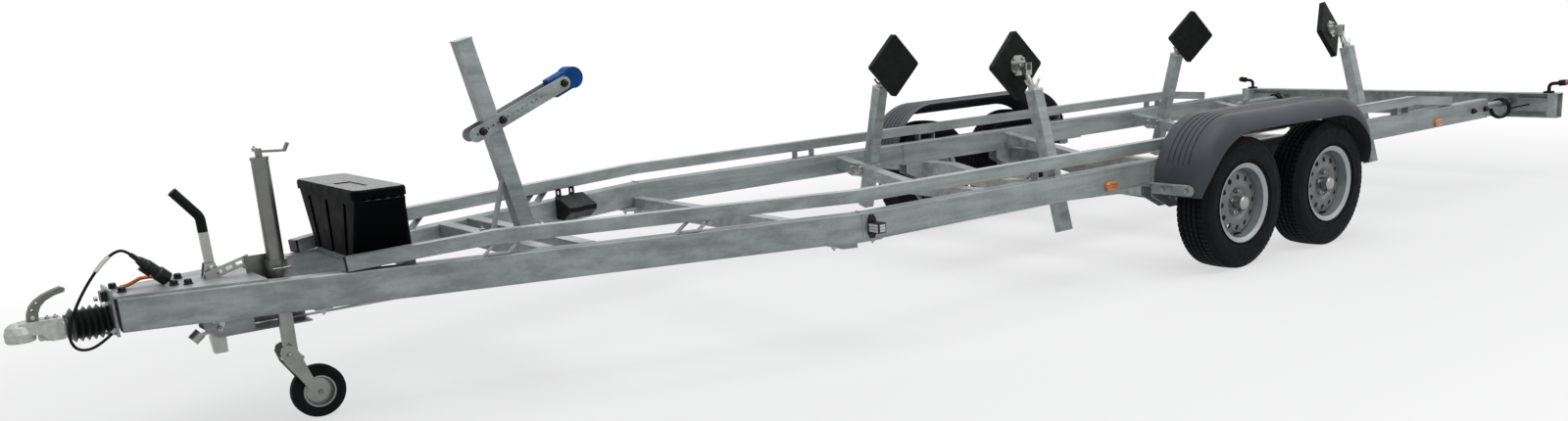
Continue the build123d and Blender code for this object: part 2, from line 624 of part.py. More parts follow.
def bow_arm():
    "Two drilled flat plates clamped on the winch post, and the bow stop."
    dx, dz = BOW_REAR[0] - BOW_FRONT[0], BOW_REAR[1] - BOW_FRONT[1]
    long = hypot(dx, dz)
    along = Plane(origin=(BOW_FRONT[0], 0, BOW_FRONT[1]), x_dir=(0, 1, 0), z_dir=(dx, 0, dz))
    end = BOW_DEEP / 2
    plate = Pos(0, 0, long / 2) * Box(BOW_T, BOW_DEEP, long - BOW_DEEP)
    for z in (end, long - end):
        plate = plate + Pos(0, 0, z) * Rot(0, 90, 0) * Cylinder(end, BOW_T)
    for k in range(14):
        plate = plate - Pos(0, 0, 35 + k * 24) * Rot(0, 90, 0) * Cylinder(BOW_HOLE_R, 20)
    out = WP_S / 2 + BOW_T / 2
    parts = [Pos(sy * out, 0, 0) * plate for sy in (-1, 1)]
    # Through-bolts ahead of and behind the post, and the stop's own bolt.
    bolts = [Pos(0, 0, z) * Rot(0, 90, 0) * Cylinder(8, WP_S + 2 * BOW_T + 16) for z in (59, 155, long - end)]
    save("bow_arm", along * one(parts + bolts))
    width = WP_S
    nose = Pos(0, 0, long + 22) * Rot(0, 90, 0) * Cylinder(STOP_R, width)
    body = Pos(0, 0, long - 30) * Box(width, 2 * STOP_R - 12, 100)
    stop = nose + body
    stop = stop - Pos(0, 0, long + 40 + STOP_R) * Rot(90, 0, 0) * Rot(0, 0, 45) * Box(48, 48, 200)
    stop = stop - Pos(0, 0, long - end) * Rot(0, 90, 0) * Cylinder(8 + TOUCH, 200)
    save("bow_stop", along * stop)


# ---- overrun device and coupling --------------------------------------------------------------
def overrun():
    s = pipe((HOUSE_X0, 0, DRAW_Z), (HOUSE_X1, 0, DRAW_Z), HOUSE_R, DRAW_R + 0.5)
    xa, xb = TOP_PLATE_X0, HOUSE_X1
    plate = plan_face([(xa, 12 - leg_out(xa)), (xa, leg_out(xa) - 12), (xb, leg_out(xb) - 6),
                       (xb, 6 - leg_out(xb))], RAIL_Z1, DECK_Z)
    web = block(HOUSE_X0, HOUSE_X1 - 10, -6, 6, DRAW_Z + HOUSE_R - 4, RAIL_Z1)
    front = block(HOUSE_X1 - 2, HOUSE_X1 + 6, -85, 85, 430, DECK_Z + 20)
    front = front - rod((HOUSE_X1 - 20, 0, DRAW_Z), (HOUSE_X1 + 20, 0, DRAW_Z), DRAW_R + 0.5)
    exit_run = (Vector(*LEAD[1]) - Vector(*LEAD[0])).normalized()
    gland = rod(tuple(Vector(*LEAD[0]) - exit_run * 20), LEAD[0], 9)
    save("overrun_housing", one([s, plate, web, front, gland]))
    # Pleated rubber bellows over the drawtube.
    x0, hole = HOUSE_X1 + 7, DRAW_R + TOUCH
    pitch = (BELLOWS_X1 - 12 - x0 - 4) / CONVOLUTIONS
    pts = [(hole, x0), (48, x0), (48, x0 + 4)]
    for k in range(CONVOLUTIONS):
        a = x0 + 4 + k * pitch
        pts += [(BELLOWS_R, a + 0.45 * pitch), (46, a + pitch)]
    pts += [(40, BELLOWS_X1 - 8), (40, BELLOWS_X1), (hole, BELLOWS_X1)]
    f = make_face(Polyline(*[(x, 0, DRAW_Z + r) for r, x in pts], close=True))
    save("bellows", revolve(f, axis=Axis((0, 0, DRAW_Z), (1, 0, 0))))


def coupling():
    "Cast head: sleeve on the drawtube, tapering neck and the ball cup."
    draw = rod((3600, 0, DRAW_Z), (4150, 0, DRAW_Z), DRAW_R)
    sleeve = rod((BELLOWS_X1 + 8, 0, DRAW_Z), (4150, 0, DRAW_Z), DRAW_R + 8)
    top = CUP_Z1 + 2
    neck = side_face([(4098, DRAW_Z - 34), (4098, DRAW_Z + 36), (4160, top), (4202, top), (BALL_X, CUP_Z1),
                      (BALL_X, BALL_Z + 4), (4165, BALL_Z - 4), (4140, DRAW_Z - 34)], -42, 42)
    neck = neck & plan_face([(4090, -40), (4090, 40), (4150, 40), (BALL_X, 33), (BALL_X, -33), (4150, -40)], 400, 600)
    cup = turned([(0, CUP_Z0), (CUP_R - 4, CUP_Z0), (CUP_R, CUP_Z0 + 5), (CUP_R, BALL_Z + 8), (CUP_R - 8, CUP_Z1 - 10),
                  (CUP_R - 22, CUP_Z1), (0, CUP_Z1)], Pos(BALL_X, 0, 0))
    latch = block(4128, 4172, -20, 20, CUP_Z0 - 6, BALL_Z)
    head = one([draw, sleeve, neck, latch, cup])
    half, deep = BALL_R * cos(radians(45)), 60.0
    pocket = make_face(ThreePointArc((BALL_R, 0, 0), (half, 0, half), (0, 0, BALL_R))
                       + Polyline((0, 0, BALL_R), (0, 0, -deep), (BALL_R, 0, -deep), (BALL_R, 0, 0)))
    head = head - Pos(BALL_X, 0, BALL_Z) * revolve(pocket, axis=Axis.Z)
    save("coupling_head", head)
    # Curved lever: outer edge from the pivot to the tip, then back inside.
    outer = [(4197, top), (4193, 545), (4182, 568), (4165, 586), (4140, 601), (4108, 613), (4082, 620)]
    inner = [(4070, 614), (4073, 603), (4104, 596), (4132, 583), (4150, 566), (4160, 545), (4163, top)]
    lever = side_face(outer + inner, -17, 17)
    for x, z in ((4176, 556), (4160, 577)):
        lever = lever - disc(x, -30, 30, z, 5)
    lever = lever - side_face([(4185, 500), (4178, 545), (4150, 580), (4100, 601), (4096, 560), (4150, 500)], -11, 11)
    save("coupling_handle", lever)


# Plug: cable end and contact face. Lead: from the gland to the plug, x, y, z.
PLUG_TIP, PLUG_FACE = (3857.0, 25.0, 695.5), (3755.0, 5.0, 590.5)
LEAD = ((HOUSE_X1 + 20, 72.0, 444.0), (3998.0, 73.0, 420.0), (4040.0, 74.0, 402.0), (4078.0, 75.0, 410.0),
        (4094.0, 75.0, 446.0), (4085.0, 75.0, 492.0), (4062.0, 74.0, 544.0), (4026.0, 70.0, 601.0),
        (3985.0, 62.0, 652.0), (3943.0, 50.0, 693.0), (3903.0, 38.0, 715.0))
LEAD_R = 5.0


def plug_and_strap():
    "Parked plug on the housing, its empty holder, and the orange grab strap."
    tip, face = Vector(*PLUG_TIP), Vector(*PLUG_FACE)
    long = (face - tip).length
    outline = [(0, 0), (8, 0), (9, 24), (14, 32), (19, 58), (21, 62), (21, 104), (26, 110), (26, long), (0, long)]
    f = make_face(Polyline(*[(r, 0, h) for r, h in outline], close=True))
    body = revolve(f, axis=Axis.Z)
    catch = Pos(0, 22, 72) * Box(16, 14, 40)
    save("plug", Plane(origin=tip, x_dir=(0, 1, 0), z_dir=face - tip) * (body + catch))
    save("plug_holder", block(HOUSE_X1 + 6, HOUSE_X1 + 26, -20, 20, DRAW_Z + BELLOWS_R + 4, DECK_Z + 10))
    y, lift = -40, DECK_Z + 7
    strap = hose([(3897, y, lift), (3870, y, lift + 4), (3830, y, lift + 21), (3792, y, lift + 21),
                  (3760, y, lift + 4), (3742, y, lift)], [50, 40, 60, 40], 6.5)
    save("orange_loop", strap)




def arc_radii(points):
    "As large as the two runs at each corner allow."
    radii = []
    for a, b, c in zip(points, points[1:], points[2:]):
        u, v = Vector(*b) - Vector(*a), Vector(*c) - Vector(*b)
        half_turn = radians(u.get_angle(v)) / 2
        radii.append(0.45 * min(u.length, v.length) / tan(half_turn))
    return radii


def lead():
    tip, face = Vector(*PLUG_TIP), Vector(*PLUG_FACE)
    route = LEAD + (tuple(tip + (tip - face).normalized() * 26), PLUG_TIP)
    radii = arc_radii(route)
    print("lead route", [tuple(round(c, 1) for c in point) for point in route])
    print("lead radii", [round(r) for r in radii])
    save("lead_cord", hose(route, radii, LEAD_R))


# ---- handbrake, channel and brake linkage ---------------------------------------------------
def handbrake():
    z = DECK_Z
    s = block(HB_X - 25, HB_X + 35, -22, 22, z, z + 6)
    for sy in (-1, 1):
        s = s + side_face([(HB_X - 25, z), (HB_X + 35, z), (HB_X + 22, z + 52), (HB_X - 12, z + 52)],
                          sy * 19 - 3, sy * 19 + 3)
    s = s + disc(HB_X + 5, -16, 16, z + 34, 8)
    top = (HB_X + 6, 0, 735)
    s = s + bar((HB_X + 2, 0, z + 22), top, 14, 32)
    # Slotted strut from the lever's foot up to the jockey clamp's plate.
    foot, head = (HB_X + 30, 35, z + 6), (3481, 35, 622)
    strut = bar(foot, head, 6, 34) - block(3400, 3700, 0, 60, z - 60, z)
    d = Vector(*head) - Vector(*foot)
    frame = Plane(origin=foot, x_dir=(0, 1, 0), z_dir=d)
    for k in (0.3, 0.53, 0.76):
        strut = strut - frame * (Pos(0, 0, d.length * k) * Box(20, 13, 24))
    save("handbrake", s, strut)
    up = (Vector(*top) - Vector(HB_X + 2, 0, z + 22)).normalized()
    grip = hose([top, tuple(Vector(*top) + up * 55), (HB_X + 83, 0, 889)], [45], 17)
    save("handbrake_grip", grip)


def drawbar_channel():
    "Channel under the drawbar that holds the brake lever's pivot."
    y0, y1, z, t = CHANNEL_Y - CHANNEL_HALF, CHANNEL_Y + CHANNEL_HALF, CHANNEL_Z, CHANNEL_T
    xa, xb, split = CHANNEL_X0, CHANNEL_X1, 3495.0
    s = block(xa, xb - 60, y0, y1, z, z + t)
    far = [(xa, z), (xb - 40, z), (xb, z + 35), (xb, RAIL_Z0 - 6), (xa, RAIL_Z0 - 6)]
    near = [(split, z), (xb - 40, z), (xb, z + 35), (xb, RAIL_Z0 - 6), (split, RAIL_Z0 - 6)]
    s = s + side_face(far, y0, y0 + t) + side_face(near, y1 - t, y1)
    for x in (xa + 30, xb - 30):
        reach = leg_out(x + 30) - 4
        s = s + block(x - 30, x + 30, -reach, reach, RAIL_Z0 - 6, RAIL_Z0)
    slot = block(LEVER_X - 34, LEVER_X + 60, y0 + t + 4, y1 - t - 4, z - 5, z + t + 1)
    save("drawbar_channel", s - slot)
    # Lever, its rubber stop arm, the long rod and the equaliser at the front axle.
    y = CHANNEL_Y
    lever = side_face([(LEVER_X - 24, 288), (LEVER_X + 20, 288), (LEVER_X + 26, 345), (LEVER_X + 20, 402),
                       (LEVER_X - 18, 402), (LEVER_X - 26, 345)], y - 18, y + 18)
    pin = disc(LEVER_X - 4, y0 + t, y1 - t, 384, 8)
    stop = bar((LEVER_X + 10, y, 372), (LEVER_X + 58, y, 362), 10, 12)
    stop = stop + rod((LEVER_X + 54, y, 372), (LEVER_X + 84, y, 348), 21)
    axle_face = AXLE_F_X + BEAM_AHEAD + TUBE_S / 2
    bar_x = axle_face + 60
    long_rod = rod((LEVER_X - 10, y, BRAKE_ROD_Z), (axle_face, y, BRAKE_ROD_Z), BRAKE_ROD_R)
    equaliser = block(bar_x, bar_x + 12, y - 60, y + 60, BRAKE_ROD_Z - 18, BRAKE_ROD_Z + 18)
    save("brake_linkage", one([lever, pin, stop, long_rod, equaliser]))


# ---- jockey wheel -----------------------------------------------------------------------------
def jockey():
    tube = pipe((JX, JY, J_LOW), (JX, JY, J_TOP), J_R, J_R - J_WALL)
    cap = post(JX, JY, J_TOP, J_TOP + 10, J_R + 2) + post(JX, JY, J_TOP + 10, J_TOP + 40, 12)
    clamp_r, y0, y1, top = J_R + 8, JY - J_R - 17, JY - J_R - 9, RAIL_Z1 + 68
    clamp = post(JX, JY, top - 72, top - 20, clamp_r) - post(JX, JY, top - 82, top - 12, J_R - 1)
    plate = block(JX + 15, TOP_PLATE_X0, y0, y1, RAIL_Z0 + 50, top)
    plate = plate + block(TOP_PLATE_X0 - 1, TOP_PLATE_X0 + 20, y0, y1, DECK_Z, top)
    low_ring = post(JX, JY, 480, 520, clamp_r) - post(JX, JY, 470, 530, J_R - 1)
    arm = block(JX - 20, JX + 20, -leg_in(JX + 20), JY - J_R, 488, 512)
    bolt = rod((JX, JY + 30, 586), (JX, JY + 66, 586), 6) + rod((JX - 32, JY + 62, 586), (JX + 32, JY + 62, 586), 5)
    z = J_TOP + 28
    # Folding crank: flat arm, turned-up end and knob.
    crank = bar((JX + 12, JY, z + 2), (JX - 92, JY, z - 4), 18, 8) + rod((JX - 88, JY, z - 6), (JX - 104, JY, z + 22), 7)
    save("jockey_tube", one([tube, cap, clamp, plate, low_ring, arm, bolt, crank]))
    stem = pipe((JX, JY, FORK_TOP), (JX, JY, 700), STEM_R, 20)
    save("jockey_stem", stem)
    fork = block(JX - 34, JX + 34, JY - FORK_Y, JY + FORK_Y, FORK_TOP - 12, FORK_TOP)
    fork = fork + post(JX, JY, FORK_TOP - 6, FORK_TOP + 18, 20 - BEARING)
    x, z = JX - JTRAIL, JW_R
    head = [(JX + dx, FORK_TOP + dz) for dx, dz in ((47, 22), (39, 42), (21, 50), (-5, 42), (-21, 12))]
    shank = [(JX - 39, FORK_TOP - 45), (x + 14, z + 40)]
    eye = [(x + dx, z + dz) for dx, dz in ((-14, 12), (-18, -8), (-6, -18), (12, -16), (36, 12))]
    cheek = head + shank + eye + [(JX + 3, FORK_TOP - 70), (JX + 35, FORK_TOP - 20)]
    for sy in (-1, 1):
        fork = fork + side_face(cheek, JY + sy * FORK_Y - FORK_T / 2, JY + sy * FORK_Y + FORK_T / 2)
    fork = fork + disc(x, JY - FORK_Y, JY + FORK_Y, JW_R, 8)
    save("jockey_fork", fork)
    at = Pos(x, JY, JW_R)
    save("jockey_tyre", ring([(60 + TOUCH, -26), (82, -29), (96, -22), (JW_R, -12), (JW_R, 12), (96, 22), (82, 29),
                              (60 + TOUCH, 26)], at))
    hole = 8 + BEARING
    save("jockey_rim", ring([(hole, -29), (16, -29), (18, -14), (48, -8), (54, -24), (60, -24), (60, 24), (54, 24),
                             (48, 8), (18, 14), (16, 29), (hole, 29)], at))


# ---- toolbox --------------------------------------------------------------------------------------
def rounded(points, z, radius):
    f = make_face(Polyline(*[(x, y, 0) for x, y in points], close=True))
    return Pos(0, 0, z) * fillet(f.vertices(), radius)


def box_shell(inset, z0, z1):
    "The tapering body drawn in by inset, between two heights."
    def half_widths(z):
        f = (z - TB_Z0) / (TB_Z1 - TB_Z0)
        top = TB_Y - TB_RIM
        return (TB_BOTTOM_FRONT + f * (top - TB_BOTTOM_FRONT), TB_BOTTOM_REAR + f * (top - TB_BOTTOM_REAR),
                TB_BOTTOM_X0 + f * (TB_X0 + TB_RIM - TB_BOTTOM_X0), TB_BOTTOM_X1 + f * (TB_X1 - TB_RIM - TB_BOTTOM_X1))
    faces = []
    for z in (z0, z1):
        front, rear, x0, x1 = half_widths(z)
        i = inset
        faces.append(rounded([(x1 - i, front - i), (x0 + i, rear - i), (x0 + i, i - rear), (x1 - i, i - front)],
                             z, TB_CORNER - i))
    return loft(faces, ruled=True)


def flutes(grow):
    "Upright pressed grooves that follow the taper of front and back."
    cut = []
    for x_top, x_low, sx in ((TB_X1 - TB_RIM, TB_BOTTOM_X1, 1), (TB_X0 + TB_RIM, TB_BOTTOM_X0, -1)):
        for y_top, y_low in ((-205, -140), (0, 0), (205, 140)):
            a = (x_low + sx * (14 - grow - 7), y_low, TB_Z0 - 40)
            b = (x_top + sx * (14 - grow - 7), y_top, TB_Z1 - 22)
            cut.append(bar(a, b, 30 + 2 * grow, 28))
    return one(cut)


def toolbox():
    t = TB_WALL
    body = box_shell(0, TB_Z0, TB_Z1) - flutes(0)
    hollow = box_shell(t, TB_Z0 + t, TB_Z1 + 2) - flutes(t)
    body = body - hollow
    leaf = block(TB_X0 + TB_RIM + 26, TB_X1 - TB_RIM - 26, TB_Y - 30, HINGE_Y, TB_Z1 - 22, TB_Z1 - 14)
    body = body + (leaf - box_shell(t / 2, TB_Z0, TB_Z1))
    lid = rounded([(TB_X1, TB_Y), (TB_X0, TB_Y), (TB_X0, -TB_Y), (TB_X1, -TB_Y)], 0, 38)
    lid = extrude(lid, amount=TB_LID - TB_Z1 - LID_GAP, dir=(0, 0, 1))
    lid = Pos(0, 0, TB_Z1 + LID_GAP) * chamfer(lid.faces().sort_by(Axis.Z)[-1].edges(), 7)
    lid = lid - block(3075, 3140, 0, 205, TB_LID - 3, TB_LID + 1)
    latch = block(3019, 3076, -TB_Y - 10, -TB_Y, TB_Z1 - 25, TB_LID - 6)
    lid = lid + latch
    # Hinge barrels along the left end, turn about with the lid's.
    pitch = (TB_X1 - TB_X0 - 40) / 9
    for k in range(9):
        x = TB_X0 + 20 + k * pitch
        barrel = rod((x + TOUCH, HINGE_Y, HINGE_Z), (x + pitch - TOUCH, HINGE_Y, HINGE_Z), HINGE_R)
        xa, xb = x + TOUCH, x + pitch - TOUCH
        if k % 2:
            lid = lid + barrel + block(xa, xb, HINGE_Y - 10, HINGE_Y - 1, HINGE_Z + 3, TB_Z1 + 8)
        else:
            body = body + barrel + block(xa, xb, HINGE_Y - 4, HINGE_Y + 2, TB_Z1 - 22, HINGE_Z - 2)
    save("toolbox", body)
    save("toolbox_lid", lid)


# ---- wheel chocks on the right drawbar leg -----------------------------------------------------
def chocks():
    for x in CHOCKS_X:
        y0, wide = -leg_in(x) - CHOCK_SET, 36.0
        wedge = cross_face([(y0 + 14, 470), (y0 + 14, 578), (y0 + 34, 580), (y0 + 165, 534), (y0 + 165, 512),
                            (y0 + 90, 470)], x - wide, x + wide)
        grip = block(x + 4, x + 30, y0 + 12, y0 + 26, 575, 612) - block(x + 11, x + 23, y0, y0 + 40, 584, 603)
        holder = block(x - 30, x + 30, y0 - 60, y0 + 14, 500, 548)
        leg = plan_face([(1500, -leg_in(1500)), (2200, -leg_in(2200)), (2200, -1200), (1500, -1200)], 400, 700)
        save("wheel_chocks", one([wedge, grip, holder]) - leg)


# ---- lamps ----------------------------------------------------------------------------------------
def lamps():
    for x in (-155.0, -3155.0):
        lens = Pos(x, RAIL_OUT + 8, 477) * Rot(90, 0, 0) * extrude(SlotOverall(84, 42), amount=8, both=True)
        twins("side_markers", chamfer(lens.faces().sort_by(Axis.Y)[-1].edges(), 5))
    x, z = KINK_X - 45, 503.0
    base = side_face([(x - 20, z - 30), (x - 8, z - 48), (x + 8, z - 48), (x + 20, z - 30), (x + 20, z + 30),
                      (x + 8, z + 48), (x - 8, z + 48), (x - 20, z + 30)], RAIL_OUT, RAIL_OUT + 8)
    twins("position_lamps", base + block(x - 20, x + 20, RAIL_OUT + 8, RAIL_OUT + 68, z - 23, z + 19))
    x, y = BEAM_X0 + 43, BEAM_Y - 70
    arm = hose([(x, y, BEAM_Z1 + 6), (x, y, BEAM_Z1 + 58), (x, y + 62, BEAM_Z1 + 64)], [26], 11)
    foot = block(x - 25, x + 25, y - 25, y + 25, BEAM_Z1, BEAM_Z1 + 12)
    bulb = rod((x, y + 62, BEAM_Z1 + 64), (x, y + 104, BEAM_Z1 + 68), 19)
    twins("outline_lamps", one([arm, foot, bulb]))


# ---- rear light beam --------------------------------------------------------------------------------
LAMP_Y0, LAMP_Y1 = BEAM_Y - 287.0, BEAM_Y - 47.0
LAMP_Z0, LAMP_Z1 = 432.0, 540.0
LAMP_IN = 26.0               # depth of the lamp's body inside the beam


def light_beam():
    t = BEAM_T
    s = block(BEAM_X0, BEAM_X1, -BEAM_Y, BEAM_Y, BEAM_Z0, BEAM_Z1)
    s = s - block(BEAM_X0 + t, BEAM_X1 + 1, -BEAM_Y - 1, BEAM_Y + 1, BEAM_Z0 + t, BEAM_Z1 - t)
    window = (LAMP_Y0 + 10, LAMP_Y1 - 10, LAMP_Z0 + 10, LAMP_Z1 - 10)
    for sy in (-1, 1):
        y0, y1 = sorted((sy * window[0], sy * window[1]))
        s = s - block(BEAM_X0 - 1, BEAM_X0 + t + 1, y0, y1, window[2], window[3])
        s = s + block(BEAM_X1 - 4, BEAM_X1, sy * (BEAM_Y - 60), sy * BEAM_Y, BEAM_Z0 + t, BEAM_Z1 - t)
    pull = rod((PULL_FRONT_X, PULL_Y, PULL_Z), (BEAM_X0 + t, PULL_Y, PULL_Z), PULL_R)
    save("light_beam", s + pull + both(pull))
    lamp = block(REAR_X, BEAM_X0, LAMP_Y0, LAMP_Y1, LAMP_Z0, LAMP_Z1)
    lamp = fillet(lamp.edges().filter_by(Axis.X), 10)
    lamp = lamp + block(BEAM_X0, BEAM_X0 + LAMP_IN, window[0], window[1], window[2], window[3])
    twins("tail_lamps", lamp)
    # Triangular reflectors on the back of the beam.
    side, y, z = 150.0, BEAM_Y - 480, 422.0
    tri = cross_face([(y - side / 2, z), (y + side / 2, z), (y, z + side * 0.866)], BEAM_X0 - 7, BEAM_X0)
    twins("tail_lamps", tri)


def rear_cables():
    "Spare lamp cable wound round each tube of the beam, then on to the lamp."
    z = PULL_Z + PULL_R + TOUCH - (COIL_R - COIL_WIRE)
    first = BEAM_X1 + 68
    turns = [Pos(first - k * 1.7 * COIL_WIRE, PULL_Y, z) * Rot(0, 90, 0) * Torus(COIL_R, COIL_WIRE)
             for k in range(COIL_TURNS)]
    x, y = first - (COIL_TURNS - 1) * 1.7 * COIL_WIRE, PULL_Y + COIL_R
    tail = hose([(x, y, z), (x - 14, y + 26, z + 6), (BEAM_X1 - 15, y + 74, z + 18),
                 (BEAM_X0 + LAMP_IN, y + 74, z + 18)], [30, 30], 5)
    twins("rear_cables", one(turns) + tail)


for build in (main_rails, axle_carriers, cross_members, side_rails, axles, brake_cables, wheels, fenders,
              rail_brackets, pads, winch_post, bow_arm, overrun, coupling, plug_and_strap, lead, handbrake,
              drawbar_channel, jockey, toolbox, chocks, lamps, light_beam, rear_cables):
    build()

os.makedirs("parts", exist_ok=True)
for name, solids in NODES.items():
    whole = solids[0] if len(solids) == 1 else Compound(children=list(solids))
    export_step(whole, f"parts/{name}.step")
print("nodes", len(NODES))
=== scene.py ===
import math
import random

import bmesh
import bpy
from bpy.props import FloatProperty, FloatVectorProperty, IntProperty, PointerProperty
from bpy.types import Operator, Panel, PropertyGroup
from mathutils import Matrix, Vector

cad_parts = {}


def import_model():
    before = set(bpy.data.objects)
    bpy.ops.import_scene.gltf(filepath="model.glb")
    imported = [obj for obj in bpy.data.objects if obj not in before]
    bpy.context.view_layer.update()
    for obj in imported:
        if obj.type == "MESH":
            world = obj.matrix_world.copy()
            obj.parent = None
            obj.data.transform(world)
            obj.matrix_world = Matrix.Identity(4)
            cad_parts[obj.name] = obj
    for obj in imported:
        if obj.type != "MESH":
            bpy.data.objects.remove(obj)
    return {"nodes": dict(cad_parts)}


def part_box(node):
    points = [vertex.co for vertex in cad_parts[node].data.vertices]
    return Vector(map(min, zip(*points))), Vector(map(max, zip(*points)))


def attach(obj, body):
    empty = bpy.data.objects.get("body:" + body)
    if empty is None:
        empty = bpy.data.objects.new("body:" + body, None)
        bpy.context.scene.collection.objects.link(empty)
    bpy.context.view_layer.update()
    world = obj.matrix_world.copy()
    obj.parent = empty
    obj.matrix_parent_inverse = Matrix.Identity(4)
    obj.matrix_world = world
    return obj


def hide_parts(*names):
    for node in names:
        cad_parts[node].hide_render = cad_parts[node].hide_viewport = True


bl_info = {
    "name": "Boat trailer dressing",
    "version": (1, 0, 0),
    "blender": (4, 5, 0),
    "location": "3D view > Sidebar > Trailer",
    "description": "Finishes, tyres, fasteners, lamps and leads for the tandem boat trailer frame",
    "category": "Object",
}

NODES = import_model()["nodes"]
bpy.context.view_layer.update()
WAYS = (1, -1)               # left and right
CORNERS = (("front_left", 1), ("front_right", -1), ("rear_left", 1), ("rear_right", -1))     # road wheels
FORWARD, BACK, UP, DOWN = (1, 0, 0), (-1, 0, 0), (0, 0, 1), (0, 0, -1)


# ---- settings ----
def colour(name, description, default):
    return FloatVectorProperty(name=name, description=description, subtype="COLOR", size=3,
                               min=0.0, max=1.0, default=default)


def length(name, description, default):
    return FloatProperty(name=name, description=description, default=default, unit="LENGTH", precision=4)


class SteelSettings(PropertyGroup):
    galvanised: colour("Galvanised", "Mean colour of the hot-dip zinc", (0.335, 0.375, 0.37))
    spangle: length("Spangle", "Size of a zinc crystal", 0.011)
    bright: colour("Zinc plate", "Colour of the plated coupling and jockey parts", (0.36, 0.37, 0.355))
    wheel_paint: colour("Wheel enamel", "Silver enamel of the road wheels", (0.15, 0.161, 0.167))
    weld: length("Weld bead", "Half width of a weld bead", 0.004)


class RubberSettings(PropertyGroup):
    tyre: colour("Tyre", "Tread and sidewall rubber", (0.0024, 0.003, 0.0038))
    pad: colour("Pad", "Moulded rubber of the hull pads", (0.0085, 0.009, 0.0092))
    bow_stop: colour("Bow stop", "Blue rubber block of the bow stop", (0.006, 0.06, 0.21))
    tread_depth: length("Tread depth", "Depth of the main grooves", 0.007)
    pitches: IntProperty(name="Tread blocks", description="Tread blocks round the tyre", default=76, min=24)


class PlasticSettings(PropertyGroup):
    fender: colour("Fender", "Grained grey plastic", (0.058, 0.064, 0.073))
    box: colour("Toolbox", "Black plastic of the toolbox", (0.0026, 0.0031, 0.0037))
    strap: colour("Grab strap", "Orange strap beside the plug", (0.72, 0.2, 0.03))


class LampSettings(PropertyGroup):
    amber: colour("Amber", "Side marker and turn lens", (0.85, 0.26, 0.02))
    red: colour("Red", "Tail, stop and reflector lens", (0.55, 0.012, 0.01))
    clear: colour("Clear", "Clear lens", (0.8, 0.82, 0.84))


class WoodSettings(PropertyGroup):
    pale: colour("Spring wood", "Pale bands of the keel plank", (0.62, 0.46, 0.28))
    dark: colour("Summer wood", "Dark bands of the keel plank", (0.42, 0.26, 0.13))


class StageSettings(PropertyGroup):
    floor: colour("Floor", "Plain pale floor", (0.6, 0.6, 0.6))
    key: FloatProperty(name="Key lamp", description="Power of the main lamp", default=520.0, unit="POWER")
    fill: FloatProperty(name="Fill lamp", description="Power of the fill lamp", default=70.0, unit="POWER")
    sky: FloatProperty(name="Sky", description="Strength of the even world light", default=0.22)


SETTINGS = (("steel", SteelSettings), ("rubber", RubberSettings), ("plastic", PlasticSettings),
            ("lamps", LampSettings), ("wood", WoodSettings), ("stage", StageSettings))


def settings(group):
    return getattr(bpy.context.scene, "trailer_" + group)


# ---- finishes ----
NOISE_ROUGHNESS = 0.55
ROAD_DUST = (0.34, 0.31, 0.27)
PRISM_SCALE = 0.16 / 0.006   # wave texture's scale for lens ribs 6 mm apart


def fill(node, sockets):
    """Gives each socket a value, or links it to another node's output."""
    for key, value in sockets.items():
        socket = node.inputs[key]
        if isinstance(value, bpy.types.NodeSocket):
            node.id_data.links.new(value, socket)
        else:
            socket.default_value = (*value, 1.0) if socket.type == "RGBA" else value


def add_node(tree, kind, sockets, **values):
    made = tree.nodes.new(kind)
    for key, value in values.items():
        setattr(made, key, value)
    fill(made, sockets)
    return made


class Finish:
    """A node material on one Principled shader, with object coordinates in metres."""

    def __init__(self, name, base, metallic=0.0, roughness=0.5, sheen=0.5):
        self.base = base
        self.material = bpy.data.materials.new(name)
        self.material.use_nodes = True
        self.tree = self.material.node_tree
        self.shader = self.tree.nodes["Principled BSDF"]
        fill(self.shader, {"Base Color": base, "Metallic": metallic, "Roughness": roughness,
                           "Specular IOR Level": sheen})
        self.place = self.node("ShaderNodeTexCoord", {}).outputs["Object"]

    def node(self, kind, sockets, **values):
        return add_node(self.tree, kind, sockets, **values)

    def stretched(self, factors):
        return self.node("ShaderNodeMapping", {"Scale": factors, "Vector": self.place}).outputs["Vector"]

    def noise(self, size, detail, place=None):
        sockets = {"Scale": 1.0 / size, "Detail": detail, "Roughness": NOISE_ROUGHNESS,
                   "Vector": place or self.place}
        return self.node("ShaderNodeTexNoise", sockets).outputs["Fac"]

    def cells(self, size, output):
        return self.node("ShaderNodeTexVoronoi", {"Scale": 1.0 / size, "Vector": self.place}).outputs[output]

    def ramp(self, source, stops):
        made = self.node("ShaderNodeValToRGB", {"Fac": source})
        elements = made.color_ramp.elements
        while len(elements) < len(stops):
            elements.new(0.5)
        for element, (position, value) in zip(elements, stops):
            element.position = position
            element.color = (*value, 1.0) if isinstance(value, tuple) else (value, value, value, 1.0)
        return made.outputs["Color"]

    def mix(self, share, first, second, blend="MIX"):
        sockets = {0: share, 6: first, 7: second}
        return self.node("ShaderNodeMix", sockets, data_type="RGBA", blend_type=blend).outputs[2]

    def shades(self, *stops):
        "Ramp stops as darker and lighter steps of the base colour."
        return [(stop, shade(self.base, factor)) for stop, factor in stops]

    def paint(self, source):
        fill(self.shader, {"Base Color": source})

    def tint(self, size, detail, *stops):
        "Soft patches of the base colour, each stop a place on the ramp and a factor."
        self.paint(self.ramp(self.noise(size, detail), self.shades(*stops)))

    def dull(self, size, detail, *stops):
        "Soft patches of roughness."
        fill(self.shader, {"Roughness": self.ramp(self.noise(size, detail), stops)})

    def emboss(self, source, strength, distance):
        bump = self.node("ShaderNodeBump", {"Strength": strength, "Distance": distance, "Height": source})
        fill(self.shader, {"Normal": bump.outputs["Normal"]})


def shade(base, factor):
    return tuple(min(1.0, c * factor) for c in base)


